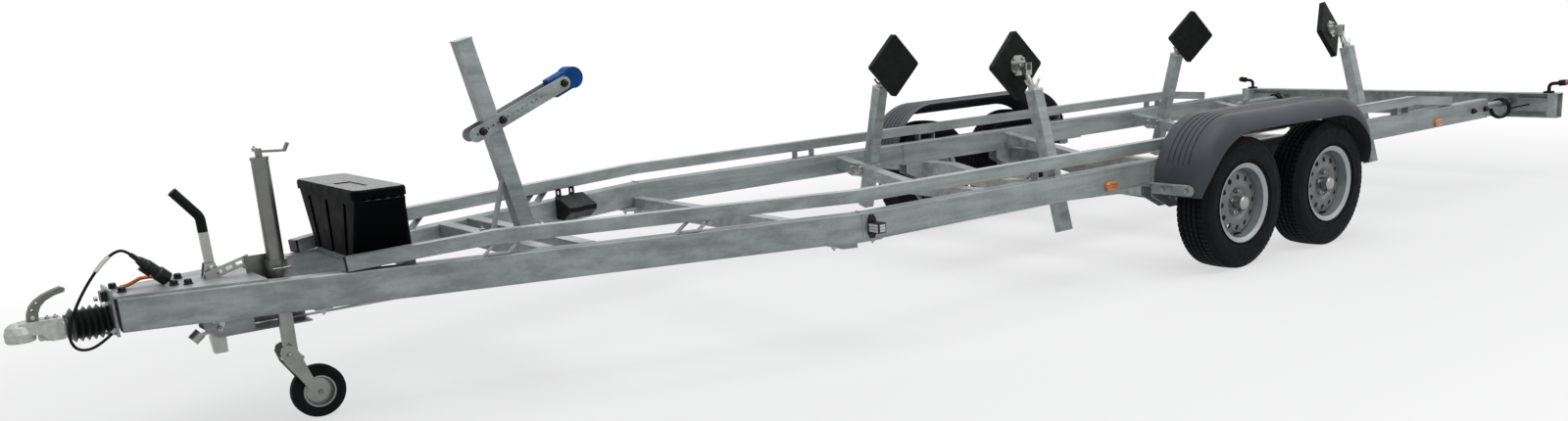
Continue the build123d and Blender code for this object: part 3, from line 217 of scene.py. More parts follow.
def galvanised(name="Hot-dip zinc"):
    steel = settings("steel")
    f = Finish(name, steel.galvanised, metallic=0.32, roughness=0.42, sheen=0.3)
    crystals = f.ramp(f.cells(steel.spangle, "Color"), f.shades((0.0, 0.88), (0.5, 1.0), (1.0, 1.16)))
    cloud = f.ramp(f.noise(0.22, 5.0), f.shades((0.3, 0.68), (0.64, 1.2)))
    runs = f.ramp(f.noise(0.045, 4.0, f.stretched((0.08, 1.0, 1.0))), [(0.38, 0.74), (0.62, 1.04)])
    f.paint(f.mix(1.0, f.mix(0.55, crystals, cloud), runs, "MULTIPLY"))
    f.dull(0.09, 4.0, (0.25, 0.3), (0.75, 0.52))
    f.emboss(f.noise(0.035, 3.0), 0.12, 0.0008)
    return f.material


def zinc_plate(name, factor=1.0):
    f = Finish(name, shade(settings("steel").bright, factor), metallic=0.88, roughness=0.3)
    f.tint(0.07, 3.0, (0.3, 0.88), (0.7, 1.08))
    f.dull(0.03, 3.0, (0.3, 0.26), (0.7, 0.4))
    f.emboss(f.noise(0.012, 2.0), 0.04, 0.0003)
    return f.material


def cast_iron(name="Sandblasted cast iron", base=(0.5, 0.51, 0.49)):
    f = Finish(name, base, metallic=0.55, roughness=0.55)
    f.tint(0.018, 5.0, (0.3, 0.8), (0.75, 1.2))
    f.emboss(f.noise(0.0022, 3.0), 0.35, 0.0005)
    return f.material


def wheel_enamel(name="Silver wheel enamel", factor=1.0):
    base = shade(settings("steel").wheel_paint, factor)
    f = Finish(name, base, metallic=0.55, roughness=0.34)
    dust = f.ramp(f.noise(0.09, 5.0), [(0.42, shade(base, 1.05)), (0.75, ROAD_DUST)])
    f.paint(f.mix(0.35, base, dust))
    f.dull(0.05, 4.0, (0.3, 0.28), (0.75, 0.5))
    f.emboss(f.noise(0.0015, 2.0), 0.06, 0.0002)
    return f.material


def tyre_rubber():
    f = Finish("Tyre rubber", settings("rubber").tyre, roughness=0.78, sheen=0.13)
    f.tint(0.06, 5.0, (0.35, 0.85), (0.72, 1.7))
    f.dull(0.03, 4.0, (0.3, 0.6), (0.7, 0.82))
    f.emboss(f.noise(0.0016, 3.0), 0.25, 0.0003)
    return f.material


def moulded_rubber(name, base=None, grain=0.0012):
    f = Finish(name, base or settings("rubber").pad, roughness=0.62, sheen=0.09)
    f.tint(0.045, 5.0, (0.35, 0.85), (0.75, 1.6))
    f.dull(0.02, 4.0, (0.3, 0.52), (0.7, 0.74))
    f.emboss(f.cells(grain * 2.0, "Distance"), 0.25, 0.0003)
    return f.material


def grained_plastic(name, base, grain, gloss, sheen=0.16):
    f = Finish(name, base, roughness=gloss, sheen=sheen)
    f.tint(0.12, 5.0, (0.3, 0.9), (0.75, 1.22))
    f.dull(0.06, 4.0, (0.3, gloss - 0.06), (0.7, gloss + 0.1))
    f.emboss(f.cells(grain, "Distance"), 0.35, 0.0003)
    return f.material


def smooth_plastic(name, gloss=0.35, base=None, sheen=0.3):
    f = Finish(name, base or settings("plastic").box, roughness=gloss, sheen=sheen)
    f.tint(0.05, 4.0, (0.3, 0.9), (0.7, 1.15))
    f.dull(0.02, 4.0, (0.3, gloss - 0.05), (0.7, gloss + 0.08))
    f.emboss(f.noise(0.006, 2.0), 0.05, 0.0003)
    return f.material


def lens(name, base):
    f = Finish(name, base, roughness=0.14)
    fill(f.shader, {"Transmission Weight": 0.25, "Coat Weight": 0.6, "Coat Roughness": 0.05})
    prisms = f.node("ShaderNodeTexWave", {"Scale": PRISM_SCALE, "Vector": f.place}, wave_type="BANDS",
                    bands_direction="Z").outputs["Fac"]
    f.paint(f.ramp(prisms, f.shades((0.0, 0.62), (1.0, 1.15))))
    f.emboss(prisms, 0.3, 0.0008)
    return f.material


def softwood():
    wood = settings("wood")
    f = Finish("Bare softwood", wood.pale, roughness=0.68)
    grain = f.node("ShaderNodeTexNoise", {"Scale": 1.0, "Detail": 6.0, "Distortion": 0.6,
                                          "Vector": f.stretched((1.1, 42.0, 60.0))}).outputs["Fac"]
    rings = f.ramp(grain, f.shades((0.36, 1.0), (0.52, 0.86)) + [(0.6, wood.dark[:])])
    fade = f.ramp(f.noise(0.5, 4.0), [(0.3, 0.86), (0.7, 1.06)])
    f.paint(f.mix(1.0, rings, fade, "MULTIPLY"))
    f.emboss(grain, 0.25, 0.0008)
    return f.material


# ---- mesh tools ----
def place_object(name, data, place=(0, 0, 0), turn=(0, 0, 0)):
    made = bpy.data.objects.new(name, data)
    made.location = place
    made.rotation_euler = turn
    bpy.context.scene.collection.objects.link(made)
    return made


def piece(name, mesh, material, body="chassis"):
    """Puts a finished bmesh into the scene as a piece of the trailer."""
    data = bpy.data.meshes.new(name)
    bmesh.ops.recalc_face_normals(mesh, faces=mesh.faces)
    mesh.to_mesh(data)
    mesh.free()
    made = place_object(name, data)
    data.materials.append(material)
    data.shade_smooth()
    data.set_sharp_from_angle(angle=math.radians(32))
    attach(made, body)
    return made


def middle(node):
    low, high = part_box(node)
    return (low + high) / 2


def dress(material, *names):
    """Gives a frame part its finish."""
    for name in names:
        part = NODES[name]
        part.data.materials.clear()
        part.data.materials.append(material)
        part.data.set_sharp_from_angle(angle=math.radians(30))


def second_coat(part, material, rule):
    """Gives another material to the faces that the rule picks."""
    part.data.materials.append(material)
    for face in part.data.polygons:
        face.material_index = 1 if rule(face) else 0


def add_box(mesh, low, high, bevel):
    """A box with chamfered edges."""
    low, high = Vector(low), Vector(high)
    place = Matrix.Translation((low + high) / 2) @ Matrix.Diagonal((*(high - low), 1.0))
    made = bmesh.ops.create_cube(mesh, size=1.0, matrix=place)
    edges = list({e for v in made["verts"] for e in v.link_edges})
    bmesh.ops.bevel(mesh, geom=edges, offset=bevel, segments=2, profile=0.6, affect="EDGES")


def seat(point, direction):
    """Matrix that stands on a point with its Z axis along a direction."""
    return Matrix.Translation(Vector(point)) @ Vector(direction).to_track_quat("Z", "Y").to_matrix().to_4x4()


def add_lathe(mesh, outline, place, steps=24):
    """Turns (radius, height) points about the local Z axis; ends on the axis close up."""
    rings = []
    for radius, height in outline:
        turns = [math.tau * k / steps for k in range(steps if radius else 1)]
        rings.append([mesh.verts.new(place @ Vector((radius * math.cos(a), radius * math.sin(a), height)))
                      for a in turns])
    for low, high in zip(rings, rings[1:]):
        for k in range(steps):
            after = (k + 1) % steps
            if len(low) == 1 < len(high):
                mesh.faces.new((low[0], high[k], high[after]))
            elif len(high) == 1 < len(low):
                mesh.faces.new((low[k], low[after], high[0]))
            elif len(low) > 1:
                mesh.faces.new((low[k], low[after], high[after], high[k]))


# widths across the flats of bolts
M7, M8, M10_SLIM, M10, M12, M16, M18 = 0.011, 0.013, 0.016, 0.017, 0.019, 0.024, 0.027
HEAD_SHARE, WASHER_SHARE = 0.62, 0.12    # heights of head and washer, of the width across flats
BITE = 0.0006                # how far a washer goes into what it sits on


def add_bolt(mesh, foot, direction, across=M12, thread=True, washer=1.25, tall=None):
    """A hexagon standing along direction, on a washer that is so many times its width across flats."""
    place = seat(foot, direction)
    tall = tall or across * HEAD_SHARE
    r = across / 2
    thick = across * WASHER_SHARE
    add_lathe(mesh, [(0, -BITE), (r * washer, -BITE), (r * washer, thick), (0, thick)], place, 20)
    corner = r / math.cos(math.radians(30))
    add_lathe(mesh, [(0, thick), (corner, thick), (corner, thick + tall * 0.84), (r * 0.93, thick + tall),
                     (0, thick + tall)], place, 6)
    if thread:
        root, crest = thick + tall * 1.45, thick + tall * 1.6
        rod = [(0, thick), (r * 0.52, thick), (r * 0.52, root), (r * 0.42, crest), (0, crest)]
        add_lathe(mesh, rod, place, 12)


def add_tube(mesh, points, radius, steps=10):
    """A round bar through the points, with its ends closed."""
    points = [Vector(p) for p in points]
    rings, across = [], None
    for k, point in enumerate(points):
        along = (points[min(k + 1, len(points) - 1)] - points[max(k - 1, 0)]).normalized()
        if across is None:
            across = along.orthogonal().normalized()
        across = (across - along * across.dot(along)).normalized()
        side = along.cross(across)
        turns = [math.tau * j / steps for j in range(steps)]
        ring = [point + radius * (math.cos(a) * across + math.sin(a) * side) for a in turns]
        rings.append([mesh.verts.new(p) for p in ring])
    for low, high in zip(rings, rings[1:]):
        for j in range(steps):
            mesh.faces.new((low[j], low[(j + 1) % steps], high[(j + 1) % steps], high[j]))
    mesh.faces.new(rings[0])
    mesh.faces.new(list(reversed(rings[-1])))


def bend(points, radius, steps=6):
    """Rounds the corners of a run of points with arcs."""
    points = [Vector(p) for p in points]
    out = [points[0]]
    for a, b, c in zip(points, points[1:], points[2:]):
        u, v = (a - b).normalized(), (c - b).normalized()
        half = u.angle(v) / 2
        reach = min(radius / math.tan(half), 0.45 * min((a - b).length, (c - b).length))
        r = reach * math.tan(half)
        centre = b + (u + v).normalized() * (r / math.sin(half))
        first, last = b + u * reach - centre, b + v * reach - centre
        for k in range(steps + 1):
            out.append(centre + first.slerp(last, k / steps).normalized() * r)
    return out + [points[-1]]


# ---- frame and fasteners ----
HALF_POST, HALF_MEMBER = 0.03, 0.035
POST_FOOT, POST_SLOPE = (0.75, 0.28), math.tan(math.radians(15.0))
PIVOT_Y, PIVOT_Z = 0.512, 1.05
MEMBER_X = {"front": 0.035, "rear": -2.535}     # cross-members that carry the posts, just ahead of them
MEMBER_FLAT, MEMBER_RISE = (0.26, 0.438), 0.102 / 0.618
# pad, side, tilt and forward turn in degrees, post set outward and up
PADS = (("front_left", 1, 3.0, 0.0, 0.0, 0.0), ("front_right", -1, 3.0, 0.0, 0.0, 0.0),
        ("rear_left", 1, 14.0, 15.0, 0.08, 0.032), ("rear_right", -1, 7.0, 15.0, 0.0, 0.0))
# U-bolts round the posts: rod radius, plate, how far the ends stick out, and rods below the member's top
U_ROD, U_PLATE, U_NOSE, U_DROPS = 0.005, 0.005, 0.026, (0.012, 0.048)
PLATE_HALF, PLATE_DROP, PLATE_RISE = 0.052, 0.064, 0.006     # plate half width, and its edges from that top
PLANK_MEMBERS, PLANK_BOLT_Y = (0.035, -1.3, -2.535), 0.055
COACH_HEAD = ((0.011, -0.001), (0.011, 0.0008), (0.008, 0.0035), (0, 0.0048))
FENDER_ARM_Y, FENDER_ARM_Z, FENDER_GAP = (1.012, 1.148), 0.427, 0.006
BEAM_CLAMP_X, BEAM_CLAMP_Y, BEAM_CLAMP_Z = (-3.57, -3.71), 0.829, (0.48, 0.52)
AXLES = (-0.82, -1.565)
AXLE_BOLT_X, AXLE_BOLT_Y, AXLE_BOLT_Z = (0.13, 0.282), 0.944, 0.424      # x from each axle
FLANGE_BOLTS, FLANGE_Z = ((1.25, 0.79), (1.25, 0.86), (1.455, 0.86)), 0.436
RAIL_CLAMP_X, RAIL_CLAMP_Y, RAIL_CLAMP_Z = (-3.585, -3.735), 0.938, 0.503
# welds: members between the rails, stubs on them, and the splice where the drawbar legs start
WELD_MEMBERS, WELD_STUBS, SPLICE_X = (0.035, -1.3, -2.535, -3.44), (0.275, -0.64, -1.74, -2.76), 1.36
INNER_FACE, INNER_FACE_AXLES = 0.878, 0.872     # faces of the rails, and of the axle carriers on them
CARRIERS = (-1.98, -0.43)
WELD_LOW, WELD_HIGH, WELD_TOP, WELD_HALF = 0.482, 0.538, 0.54, 0.034
SPLICE_Y, SPLICE_LOW, SPLICE_HIGH, SPLICE_TOP = 0.9383, 0.45, 0.558, 0.5643
STUB_HALF, STUB_OUTER, STUB_INNER, STUB_TOP = 0.06, 0.936, 0.892, 0.5645
WELD_STEP, WELD_RIPPLE = 0.006, 0.0005


def post_x(pad):
    return MEMBER_X[pad.split("_")[0]] - HALF_MEMBER - HALF_POST


def post_y(z, out, up):
    "Middle line of a post at height z, before it is mirrored."
    return POST_FOOT[0] + out - (z - up - POST_FOOT[1]) * POST_SLOPE


class TRAILER_OT_frame(Operator):
    """Hot-dip zinc on the rails, cross-members, axles and posts, with their clamps and bolts"""
    bl_idname = "trailer.frame"
    bl_label = "Galvanised frame"

    def execute(self, context):
        zinc = galvanised()
        dress(zinc, "main_rail_left", "main_rail_right", "side_rail_left", "side_rail_right", "axle_carriers",
              "axle_tubes", "swing_arms", "crossmember_kink", "drawbar_ties", "dropped_crossmembers", "posts",
              "rail_brackets", "light_beam", "drawbar_channel")
        dress(smooth_plastic("End cap plastic", 0.3), "end_caps")
        plated = zinc_plate("Plated fasteners")
        self.post_clamps(plated)
        self.plank_bolts(plated)
        self.bracket_bolts(plated)
        self.weld_beads(zinc)
        return {"FINISHED"}

    def post_clamps(self, plated):
        "U-bolts that hold each post to its cross-member."
        mesh = bmesh.new()
        reach = HALF_POST + 0.008
        for pad, side, _, _, out, up in PADS:
            front_x = MEMBER_X[pad.split("_")[0]] + HALF_MEMBER
            back_x = post_x(pad) - HALF_POST - U_ROD
            nose_x, plate_x = front_x + U_NOSE, front_x + U_PLATE
            middle_y = post_y(0.48, out, up)
            top = MEMBER_FLAT[1] + (middle_y - MEMBER_FLAT[0]) * MEMBER_RISE
            for drop in U_DROPS:
                z = top - drop
                y = side * post_y(z, out, up)
                ends = [(nose_x, y - reach, z), (back_x, y - reach, z), (back_x, y + reach, z),
                        (nose_x, y + reach, z)]
                add_tube(mesh, bend(ends, 0.012), U_ROD)
                for end in (-reach, reach):
                    add_bolt(mesh, (plate_x, y + end, z), FORWARD, M10, thread=False)
            low, high = side * middle_y - PLATE_HALF, side * middle_y + PLATE_HALF
            add_box(mesh, (front_x, low, top - PLATE_DROP), (plate_x, high, top + PLATE_RISE), 0.001)
        piece("post_clamps", mesh, plated)

    def plank_bolts(self, plated):
        "Coach bolts through the keel plank at each cross-member."
        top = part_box("keel_plank")[1].z
        mesh = bmesh.new()
        for x in PLANK_MEMBERS:
            for y in (-PLANK_BOLT_Y, PLANK_BOLT_Y):
                add_lathe(mesh, COACH_HEAD, Matrix.Translation(Vector((x, y, top))), 18)
        piece("plank_bolts", mesh, plated)

    def bracket_bolts(self, plated):
        "Bolts of the fender arms, the light-beam clamps, the axle brackets and the flange plates."
        mesh = bmesh.new()
        low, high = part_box("fender_left")
        for side in WAYS:
            for x, facing in ((high.x + FENDER_GAP, FORWARD), (low.x - FENDER_GAP, BACK)):
                for y in FENDER_ARM_Y:
                    add_bolt(mesh, (x, side * y, FENDER_ARM_Z), facing, M10)
            for x in BEAM_CLAMP_X:
                for z in BEAM_CLAMP_Z:
                    add_bolt(mesh, (x, side * BEAM_CLAMP_Y, z), FORWARD, M8, thread=False)
            for hub_x in AXLES:
                for ahead in AXLE_BOLT_X:
                    add_bolt(mesh, (hub_x + ahead, side * AXLE_BOLT_Y, AXLE_BOLT_Z), (0, side, 0), M10)
            for x, y in FLANGE_BOLTS:
                add_bolt(mesh, (x, side * y, FLANGE_Z), DOWN)
        piece("bracket_bolts", mesh, plated)
        mesh = bmesh.new()
        for x in RAIL_CLAMP_X:
            for side in WAYS:
                add_bolt(mesh, (x, side * RAIL_CLAMP_Y, RAIL_CLAMP_Z), (0, side, 0), M18, washer=1.35)
        piece("clamp_bolts", mesh, smooth_plastic("Clamp bolt caps"))

    def weld_beads(self, zinc):
        "Rippled beads where the cross-members and stubs meet the rails."
        steps = random.Random(7)
        mesh = bmesh.new()
        bead = settings("steel").weld

        def run(start, end):
            start, end = Vector(start), Vector(end)
            count = max(3, int((end - start).length / WELD_STEP))
            ripple = [Vector((0, 0, steps.uniform(-WELD_RIPPLE, WELD_RIPPLE))) for _ in range(count + 1)]
            add_tube(mesh, [start.lerp(end, k / count) + lift for k, lift in enumerate(ripple)], bead, 6)

        for x in WELD_MEMBERS:
            for side in WAYS:
                y = side * (INNER_FACE_AXLES if CARRIERS[0] < x < CARRIERS[1] else INNER_FACE)
                for edge in (-HALF_MEMBER, HALF_MEMBER):
                    run((x + edge, y, WELD_LOW), (x + edge, y, WELD_HIGH))
                run((x - WELD_HALF, y, WELD_TOP), (x + WELD_HALF, y, WELD_TOP))
        for side in WAYS:
            run((SPLICE_X, side * SPLICE_Y, SPLICE_LOW), (SPLICE_X, side * SPLICE_Y, SPLICE_HIGH))
            run((SPLICE_X, side * 0.932, SPLICE_TOP), (SPLICE_X - 0.008, side * 0.886, SPLICE_TOP))
        for x in WELD_STUBS:
            for side in WAYS:
                for edge in (-STUB_HALF, STUB_HALF):
                    run((x + edge, side * STUB_OUTER, STUB_TOP), (x + edge, side * STUB_INNER, STUB_TOP))
        piece("weld_beads", mesh, zinc)


# ---- wheels ----
SIDEWALL = ((0.1765, 0.074), (0.197, 0.074), (0.201, 0.079), (0.2065, 0.085), (0.212, 0.085),
            (0.215, 0.0905), (0.219, 0.0925), (0.223, 0.0915), (0.24, 0.0945), (0.256, 0.0945),
            (0.272, 0.0925), (0.286, 0.089), (0.2875, 0.09), (0.2905, 0.0895), (0.292, 0.087),
            (0.304, 0.0815), (0.313, 0.0755))
TREAD_HALF = 0.0735
RIBS = ((-TREAD_HALF, -0.046), (-0.039, -0.0175), (-0.0105, 0.0105), (0.0175, 0.039), (0.046, TREAD_HALF))
RIB_CHAMFER, SHOULDER_FROM = 0.0006, 0.045
SLICES, RAISED = (0.0, 0.03, 0.8, 0.83), (False, True, True, False)     # one tread block and its gap
SKEW, CROWN = 0.35, 0.0035   # slant of the blocks in pitches, and drop of the tread at its edge
NARROWER, BLOCK_MIDDLE = 1.12, 0.415     # the middle ribs' gaps against the shoulders'
SHOULDER_GAP, MIDDLE_GAP = 0.85, 0.45    # depths of the gaps, of the main grooves' depth


class TRAILER_OT_tyres(Operator):
    """Road tyres with moulded sidewalls, main grooves and slanted tread blocks"""
    bl_idname = "trailer.tyres"
    bl_label = "Tyres"

    def execute(self, context):
        rubber = tyre_rubber()
        for corner, side in CORNERS:
            low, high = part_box(f"tyre_{corner}")
            tyre = self.tyre(middle(f"tyre_{corner}"), (high.z - low.z) / 2, side)
            made = piece(f"road_tyre_{corner}", tyre, rubber, f"wheel_{corner}")
            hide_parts(f"tyre_{corner}")
        dress(rubber, "jockey_tyre")
        return {"FINISHED"}

    def tyre(self, centre, radius, side):
        "One closed skin: bead, sidewall, shoulder, tread, and back to the other bead."
        rubber = settings("rubber")
        pitches, deep = rubber.pitches, rubber.tread_depth
        # rows of radius, y and lug: True on a block's top, None in a groove, False off the tread
        rows = [(r, -y, False) for r, y in SIDEWALL]
        for left, right in RIBS:
            rows += [(radius - deep, left, None), (radius, left + RIB_CHAMFER, True),
                     (radius, right - RIB_CHAMFER, True), (radius - deep, right, None)]
        rows += [(r, y, False) for r, y in reversed(SIDEWALL)]
        mesh = bmesh.new()
        loops = []
        for r, y, lug in rows:
            tread, shoulder = lug is not False, abs(y) > SHOULDER_FROM
            here = r - (CROWN * (y / TREAD_HALF) ** 2 if tread else 0.0)
            skew = SKEW * y / TREAD_HALF * side if tread else 0.0
            gap = here - deep * (SHOULDER_GAP if shoulder else MIDDLE_GAP)
            loop = []
            for p in range(pitches):
                for share, up in zip(SLICES, RAISED):
                    if tread and not shoulder:
                        share = 0.5 + (share - BLOCK_MIDDLE) * NARROWER
                    a, at = math.tau * (p + share + skew) / pitches, gap if lug and not up else here
                    loop.append(mesh.verts.new(centre + Vector((at * math.sin(a), y, at * math.cos(a)))))
            loops.append(loop)
        around = len(loops[0])
        for low, high in zip(loops, loops[1:] + loops[:1]):
            for k in range(around):
                after = (k + 1) % around
                mesh.faces.new((low[k], low[after], high[after], high[k]))
        return mesh


WHEEL_Y, NUT_SEAT, NUT_CIRCLE, NUTS = 1.13, 0.038, 0.054, 5
LIP_HIGHLIGHT_FROM = 0.15             # radius where the lip starts, painted paler as a painted highlight
HUB_CAP = ((0.0312, -0.033), (0.0312, -0.006), (0.0335, -0.005), (0.0335, -0.001), (0.0305, 0.001),
           (0.028, 0.006), (0.016, 0.0095), (0, 0.0105))
VALVE_DROP, VALVE_STEM, VALVE_TIP = 0.157, 0.0055, 0.0042


class TRAILER_OT_wheels(Operator):
    """Silver enamel on the wheels, with nuts, hub caps and valves"""
    bl_idname = "trailer.wheels"
    bl_label = "Wheels"

    def execute(self, context):
        # The lip is the same enamel painted 2.5 times paler: a painted highlight where the rim catches the
        # light.
        enamel, bright = wheel_enamel(), wheel_enamel("Wheel lip enamel", 2.5)
        plated = zinc_plate("Wheel nuts")
        black = moulded_rubber("Valve rubber")
        for corner, side in CORNERS:
            rim, body = f"rim_{corner}", f"wheel_{corner}"
            dress(enamel, rim)
            hub = middle(rim)
            hub.y = side * WHEEL_Y
            face_y = hub.y + side * NUT_SEAT
            second_coat(NODES[rim], bright, lambda face: math.hypot(
                face.center.x - hub.x, face.center.z - hub.z) > LIP_HIGHLIGHT_FROM)
            mesh = bmesh.new()
            for k in range(NUTS):
                a = math.tau * k / NUTS
                foot = (hub.x + NUT_CIRCLE * math.sin(a), face_y, hub.z + NUT_CIRCLE * math.cos(a))
                add_bolt(mesh, foot, (0, side, 0), washer=1.2, tall=0.017)
            outer = max(side * bound.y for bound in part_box(rim))
            add_lathe(mesh, HUB_CAP, seat((hub.x, side * outer, hub.z), (0, side, 0)), 40)
            piece(f"nuts_{corner}", mesh, plated, body)
            mesh = bmesh.new()
            foot = Vector((hub.x, face_y - side * 0.006, hub.z - VALVE_DROP))
            neck = foot + Vector((0, side * 0.02, 0.004))
            add_tube(mesh, [foot - Vector((0, side * 0.012, 0)), foot, neck], VALVE_STEM)
            add_tube(mesh, [neck, foot + Vector((0, side * 0.034, 0.007))], VALVE_TIP)
            piece(f"valve_{corner}", mesh, black, body)
        return {"FINISHED"}


class TRAILER_OT_fenders(Operator):
    """Grained grey plastic on both tandem fenders"""
    bl_idname = "trailer.fenders"
    bl_label = "Fenders"

    def execute(self, context):
        plastic = grained_plastic("Fender plastic", settings("plastic").fender, 0.0018, 0.46)
        dress(plastic, "fender_left", "fender_right")
        return {"FINISHED"}


# ---- hull pads ----
PAD_FACE = 0.0418            # where the rubber starts, inboard of the pivot
PLATE_FACE, PLATE_BOLT = 0.034, 0.03        # plate inboard of the pivot, and half the spacing of its bolts
SPINDLE_TOP, SPINDLE_END = 0.937, (0.02, -0.046)    # top nut's height, and the far end from the pivot
THREAD_R, THREAD_BEAD, TURNS, TURN_STEPS = 0.0115, 0.0022, 13, 10
WING = ((0.016, 0), (0.034, 0.01), (0.047, 0.03))
WING_DOWN, WING_BEND, WING_R, FORK_HALF = 0.016, 0.02, 0.0062, 0.02


class TRAILER_OT_pads(Operator):
    """Rubber hull pads on plated back plates, with threaded spindles and wing nuts"""
    bl_idname = "trailer.pads"
    bl_label = "Hull pads"

    def execute(self, context):
        rubber = moulded_rubber("Pad rubber", grain=0.002)
        plated = zinc_plate("Pad steel")
        dress(plated, "pad_spindles")
        for pad, side, tilt, turn, out, up in PADS:
            dress(rubber, f"pad_{pad}")
            pivot = Vector((post_x(pad), side * (PIVOT_Y + out), PIVOT_Z + up))
            swing = Matrix.Rotation(math.radians(side * turn), 3, "Z")
            stance = swing @ Matrix.Rotation(math.radians(side * tilt), 3, "X")
            level = stance.inverted()
            second_coat(NODES[f"pad_{pad}"], plated,
                        lambda face: -side * (level @ (face.center - pivot)).y <= PAD_FACE)
            self.plate_bolts(pad, pivot, stance, side, plated)
            self.spindle(pad, pivot, swing, side, out, up, plated)
        return {"FINISHED"}

    def plate_bolts(self, pad, pivot, stance, side, plated):
        mesh = bmesh.new()
        outward = stance @ Vector((0, side, 0))
        for x in (-PLATE_BOLT, PLATE_BOLT):
            for z in (-PLATE_BOLT, PLATE_BOLT):
                add_bolt(mesh, pivot + stance @ Vector((x, -side * PLATE_FACE, z)), outward, M8, tall=0.007)
        piece(f"pad_bolts_{pad}", mesh, plated, f"pad_{pad}_body")

    def spindle(self, pad, pivot, swing, side, out, up, plated):
        "Thread of the spindle, its wing nut, and the bolt heads of the pivot."
        top = SPINDLE_TOP + up
        start = Vector((pivot.x, side * post_y(top, out, up), top))
        axis = pivot + swing @ Vector((0, side * SPINDLE_END[0], SPINDLE_END[1])) - start
        along = axis.normalized()
        across = along.orthogonal().normalized()
        other = along.cross(across)
        path = []
        for k in range(TURNS * TURN_STEPS + 1):
            a = math.tau * k / TURN_STEPS
            around = math.cos(a) * across + math.sin(a) * other
            path.append(start + axis * (k / (TURNS * TURN_STEPS)) + THREAD_R * around)
        mesh = bmesh.new()
        add_tube(mesh, path, THREAD_BEAD, 6)
        nut = start + along * WING_DOWN
        for way in WAYS[::-1]:
            wing = [nut + Vector((way * x, 0, z)) for x, z in WING]
            add_tube(mesh, bend(wing, WING_BEND), WING_R, 8)
            head = swing @ Vector((way, 0, 0))
            add_bolt(mesh, pivot + head * FORK_HALF, head, M10_SLIM, thread=False)
        piece(f"spindle_{pad}", mesh, plated)


# ---- winch post, bow stop and plank ----
ARM_FRONT, ARM_REAR = Vector((2.594, 0, 0.957)), Vector((2.14, 0, 1.15))
ARM_FACE = 0.0385            # outer face of the arm's plates
ARM_BOLTS = (0.059, 0.155, 0.465)            # from the arm's front end
POST_BOLT_X, POST_BOLT_Y, FOOT_PLATE = (2.34, 2.56), 0.045, 0.008


class TRAILER_OT_winch_post(Operator):
    """Winch post, drilled bow arm and blue bow stop"""
    bl_idname = "trailer.winch_post"
    bl_label = "Winch post"

    def execute(self, context):
        dress(galvanised("Winch post zinc"), "winch_post", "bow_arm")
        dress(moulded_rubber("Bow stop rubber", settings("rubber").bow_stop, 0.0016), "bow_stop")
        dress(softwood(), "keel_plank")
        along = (ARM_REAR - ARM_FRONT).normalized()
        mesh = bmesh.new()
        for reach in ARM_BOLTS:
            for side in WAYS:
                foot = ARM_FRONT + along * reach + Vector((0, side * ARM_FACE, 0))
                add_bolt(mesh, foot, (0, side, 0), M16, washer=1.35)
        piece("arm_bolts", mesh, smooth_plastic("Arm bolt caps"))
        mesh = bmesh.new()
        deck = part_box("main_rail_left")[1].z + FOOT_PLATE
        for x in POST_BOLT_X:
            for side in WAYS:
                add_bolt(mesh, (x, side * POST_BOLT_Y, deck), UP)
        piece("post_bolts", mesh, zinc_plate("Post fasteners"))
        return {"FINISHED"}


# ---- coupling, overrun housing and brake ----
CAP_BOLTS = ((3.914, -0.086), (3.904, 0.024), (3.745, 0.056), (3.704, 0.078), (3.745, -0.056),
             (3.704, -0.078))
CAP = ((0.0165, -0.0005), (0.0165, 0.003), (0.0135, 0.0045), (0.0132, 0.015), (0.0105, 0.019), (0, 0.0202))
HOUSING_DECK = 0.572
LEVER_PIN, LEVER_SINK, SHANK_BOLT_X, SHANK_TOP = (4.18, 0.532), 0.0005, (4.112, 4.136), 0.5165
HOUSING_BOLT_Y, HOUSING_BOLT_Z, HOUSING_HEX = 0.068, (0.452, 0.548), 0.015
HOUSING_INNER_Y = 0.03      # the lower left bolt stands further in, clear of the lead's gland


class TRAILER_OT_coupling(Operator):
    """Cast coupling head, lever, bellows and overrun housing with capped bolts"""
    bl_idname = "trailer.coupling"
    bl_label = "Coupling"

    def execute(self, context):
        dress(cast_iron(), "coupling_head")
        dress(cast_iron("Lever casting", (0.17, 0.175, 0.16)), "coupling_handle")
        dress(galvanised("Housing zinc"), "overrun_housing")
        dress(smooth_plastic("Bellows rubber", 0.36, settings("rubber").pad, 0.4), "bellows")
        mesh = bmesh.new()
        for x, y in CAP_BOLTS:
            add_lathe(mesh, CAP, Matrix.Translation(Vector((x, y, HOUSING_DECK))), 20)
        piece("bolt_caps", mesh, smooth_plastic("Bolt cap plastic"))
        mesh = bmesh.new()
        lever_y, front_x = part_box("coupling_handle")[1].y - LEVER_SINK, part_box("overrun_housing")[1].x
        for side in WAYS:
            add_bolt(mesh, (LEVER_PIN[0], side * lever_y, LEVER_PIN[1]), (0, side, 0), M8, thread=False)
        for x in SHANK_BOLT_X:
            add_bolt(mesh, (x, 0.0, SHANK_TOP), UP, M8)
        for side in WAYS:
            for z in HOUSING_BOLT_Z:
                y = side * HOUSING_BOLT_Y if z > 0.5 or side < 0 else HOUSING_INNER_Y
                add_bolt(mesh, (front_x, y, z), FORWARD, HOUSING_HEX, thread=False)
        piece("coupling_bolts", mesh, zinc_plate("Coupling bolts"))
        return {"FINISHED"}


# bolts across the handbrake and the plate under the drawbar: x, y, z, way they point, width across flats
BRAKE_BOLTS = ((3.611, 0.022, 0.606, 1, M10), (3.611, -0.022, 0.606, -1, M10), (3.487, 0.0385, 0.618, -1, M8),
               (3.325, -0.07, 0.386, 1, M12), (3.325, -0.075, 0.386, -1, M12), (3.614, -0.07, 0.384, 1, M12),
               (3.614, -0.075, 0.384, -1, M12), (3.614, 0.015, 0.384, 1, M12))
